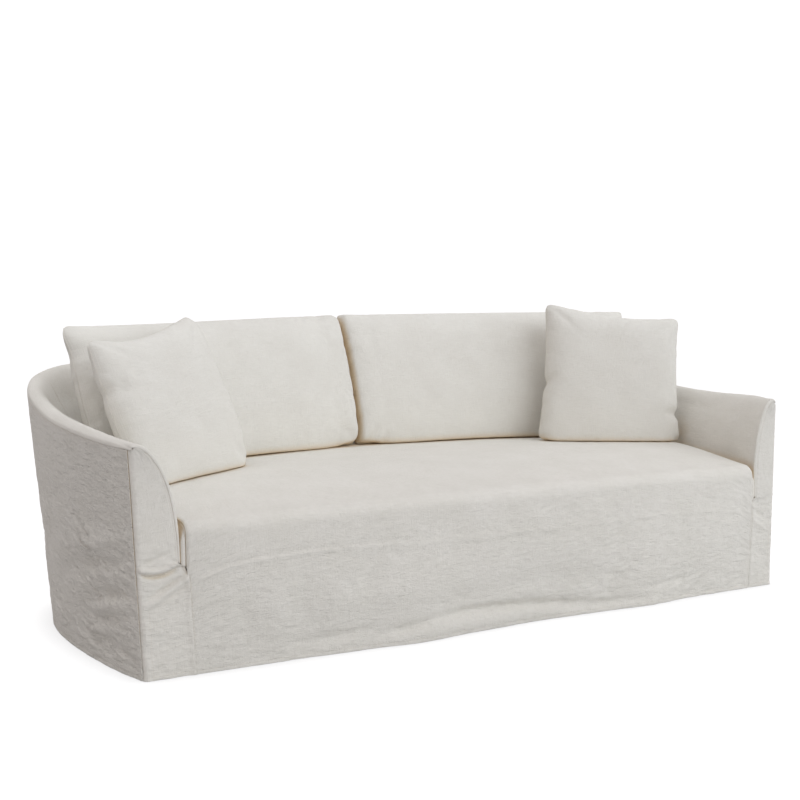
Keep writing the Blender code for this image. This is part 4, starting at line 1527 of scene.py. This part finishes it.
def add_floor():
    """A white floor that stays white around the sofa's faint shadow, which is partly cast and partly
    painted.
    """
    bpy.ops.mesh.primitive_plane_add(size=FLOOR_SIZE, location=(0.0, 0.0, -FLOOR_DROP))
    floor = bpy.context.object
    floor.name = "floor"
    material = bpy.data.materials.new("studio_floor")
    tree = empty_tree(material)
    # seen by the camera half of the floor is glow, so it stays white with a faint shadow
    paint = add_node(tree, "ShaderNodeBsdfDiffuse", {"Color": colour("#CBCBCB")})
    # painted shadow: the glow weakens within 70 mm of the hem
    open_sky = add_node(tree, "ShaderNodeAmbientOcclusion", {"Distance": 0.07}, samples=8)
    strength = add_node(tree, "ShaderNodeMapRange", {
        "Value": open_sky.outputs["AO"], "From Min": 0.45, "To Min": 1.38, "To Max": 1.68})
    glow = add_node(tree, "ShaderNodeEmission", {"Strength": strength.outputs["Result"]})
    seen = add_node(tree, "ShaderNodeLightPath").outputs["Is Camera Ray"]
    share = add_node(tree, "ShaderNodeMath", {0: seen, 1: 0.50}, operation="MULTIPLY")
    mixed = add_node(tree, "ShaderNodeMixShader", {
        "Fac": share.outputs["Value"], 1: paint.outputs["BSDF"], 2: glow.outputs["Emission"]})
    add_node(tree, "ShaderNodeOutputMaterial", {"Surface": mixed.outputs["Shader"]})
    floor.data.materials.append(material)


def add_surround():
    """White all round to the camera, and a dimmer, slightly pink light to the cloth."""
    world = bpy.data.worlds.new("studio")
    bpy.context.scene.world = world
    tree = empty_tree(world)
    seen = add_node(tree, "ShaderNodeLightPath").outputs["Is Camera Ray"]
    strength = add_node(tree, "ShaderNodeMapRange", {
        "Value": seen, "To Min": WORLD_LIGHT, "To Max": WORLD_SEEN})
    tone = add_node(tree, "ShaderNodeMix", {
        "Factor": seen, "A": colour(HAZE), "B": colour("#FFFFFF")}, data_type="RGBA")
    sky = add_node(tree, "ShaderNodeBackground", {
        "Color": tone.outputs["Result"], "Strength": strength.outputs["Result"]})
    add_node(tree, "ShaderNodeOutputWorld", {"Surface": sky.outputs["Background"]})


# ---- the whole cover ----
def mark_crumple(thing, amount_at):
    """How strongly the material's fine crumple shows at each vertex."""
    layer = thing.data.attributes.new("crumple", "FLOAT", "POINT")
    places = of_vertices(thing.data, "co")
    layer.data.foreach_set("value", np.array([amount_at(p) for p in places], dtype=np.float32))


def declare(thing, node):
    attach(thing, "root")
    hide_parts(node)


# How each panel is worn: the start of its name, how its cloth is held, and how strongly the
# material's fine crumple shows at a place on it.
Worn = namedtuple("Worn", "start held crumple")
WORN = (
    Worn("seat_panel", "draped", lambda p: 1.05 - 0.75 * smooth((p[2] - 0.28) / 0.16)),
    Worn("outside_arm", "hung", lambda p: 2.3 - 1.0 * smooth((p[1] + 0.30) / 0.60)),
    Worn("arm_front", "hung", lambda p: 1.0 - 0.65 * smooth((p[2] - 0.28) / 0.08)),
    Worn("outside_back", "hung", lambda p: 1.3),
    Worn("inside", "stretched", lambda p: 0.3),
    Worn("seat_side", "stretched", lambda p: 0.3),
)


def add_cover(linen):
    """All panels of the cover, in the order in which they are sewn."""
    arm_makers = {"outside_arm": outside_arm, "inside_arm": inside_arm,
                  "arm_front": arm_front, "seat_side": seat_side}
    pieces = {}
    for hand, side, seed in (("_left", -1.0, 11.0), ("_right", 1.0, 23.0)):
        for number, (start, maker) in enumerate(arm_makers.items()):
            pieces[start + hand] = maker(start + hand, side, seed + number, linen)
    pieces["outside_back"] = outside_back("outside_back", 31.0, linen)
    pieces["inside_back"] = inside_back("inside_back", 32.0, linen)
    pieces["seat_panel"] = seat("seat_panel", 33.0, linen)
    for node, thing in pieces.items():
        worn = next(row for row in WORN if node.startswith(row.start))
        mark_crumple(thing, worn.crumple)
        declare(thing, node)


def add_cushions(case_linen):
    """The back cushions and the throw pillows, filled together."""
    places = {name: throw_pillow_place(corners) for name, corners in PILLOW_CORNERS.items()}
    places["back_cushion_left"] = back_cushion_place(-1.0)
    places["back_cushion_right"] = back_cushion_place(1.0)
    sewn = {name: sewn_case(name + "_case", case) for name, case in CASES.items()}
    fill_cases([thing for thing, _, _ in sewn.values()])
    for name, case in CASES.items():
        thing = set_cushion(name, sewn[name][0], case, *sewn[name][1:], places[name], case_linen)
        mark_crumple(thing, lambda p: FILLED_CRUMPLE)
        declare(thing, name)


def add_stitches():
    thread = sewn_stitches(sewing_thread())
    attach(thread, "root")


def main():
    add_camera()
    add_floor()
    add_surround()
    for lamp in LAMPS:
        add_lamp(lamp)
    view = bpy.context.scene.view_settings
    view.view_transform = "Standard"
    view.look = "None"
    linen = washed_linen("washed_linen", "#EBE8E0", "#E0DDD3", COVER_CRUMPLE)
    case_linen = washed_linen("washed_linen_case", "#E9E7DF", "#E0DDD4", CASE_CRUMPLE)
    add_cover(linen)
    add_cushions(case_linen)
    add_stitches()


main()
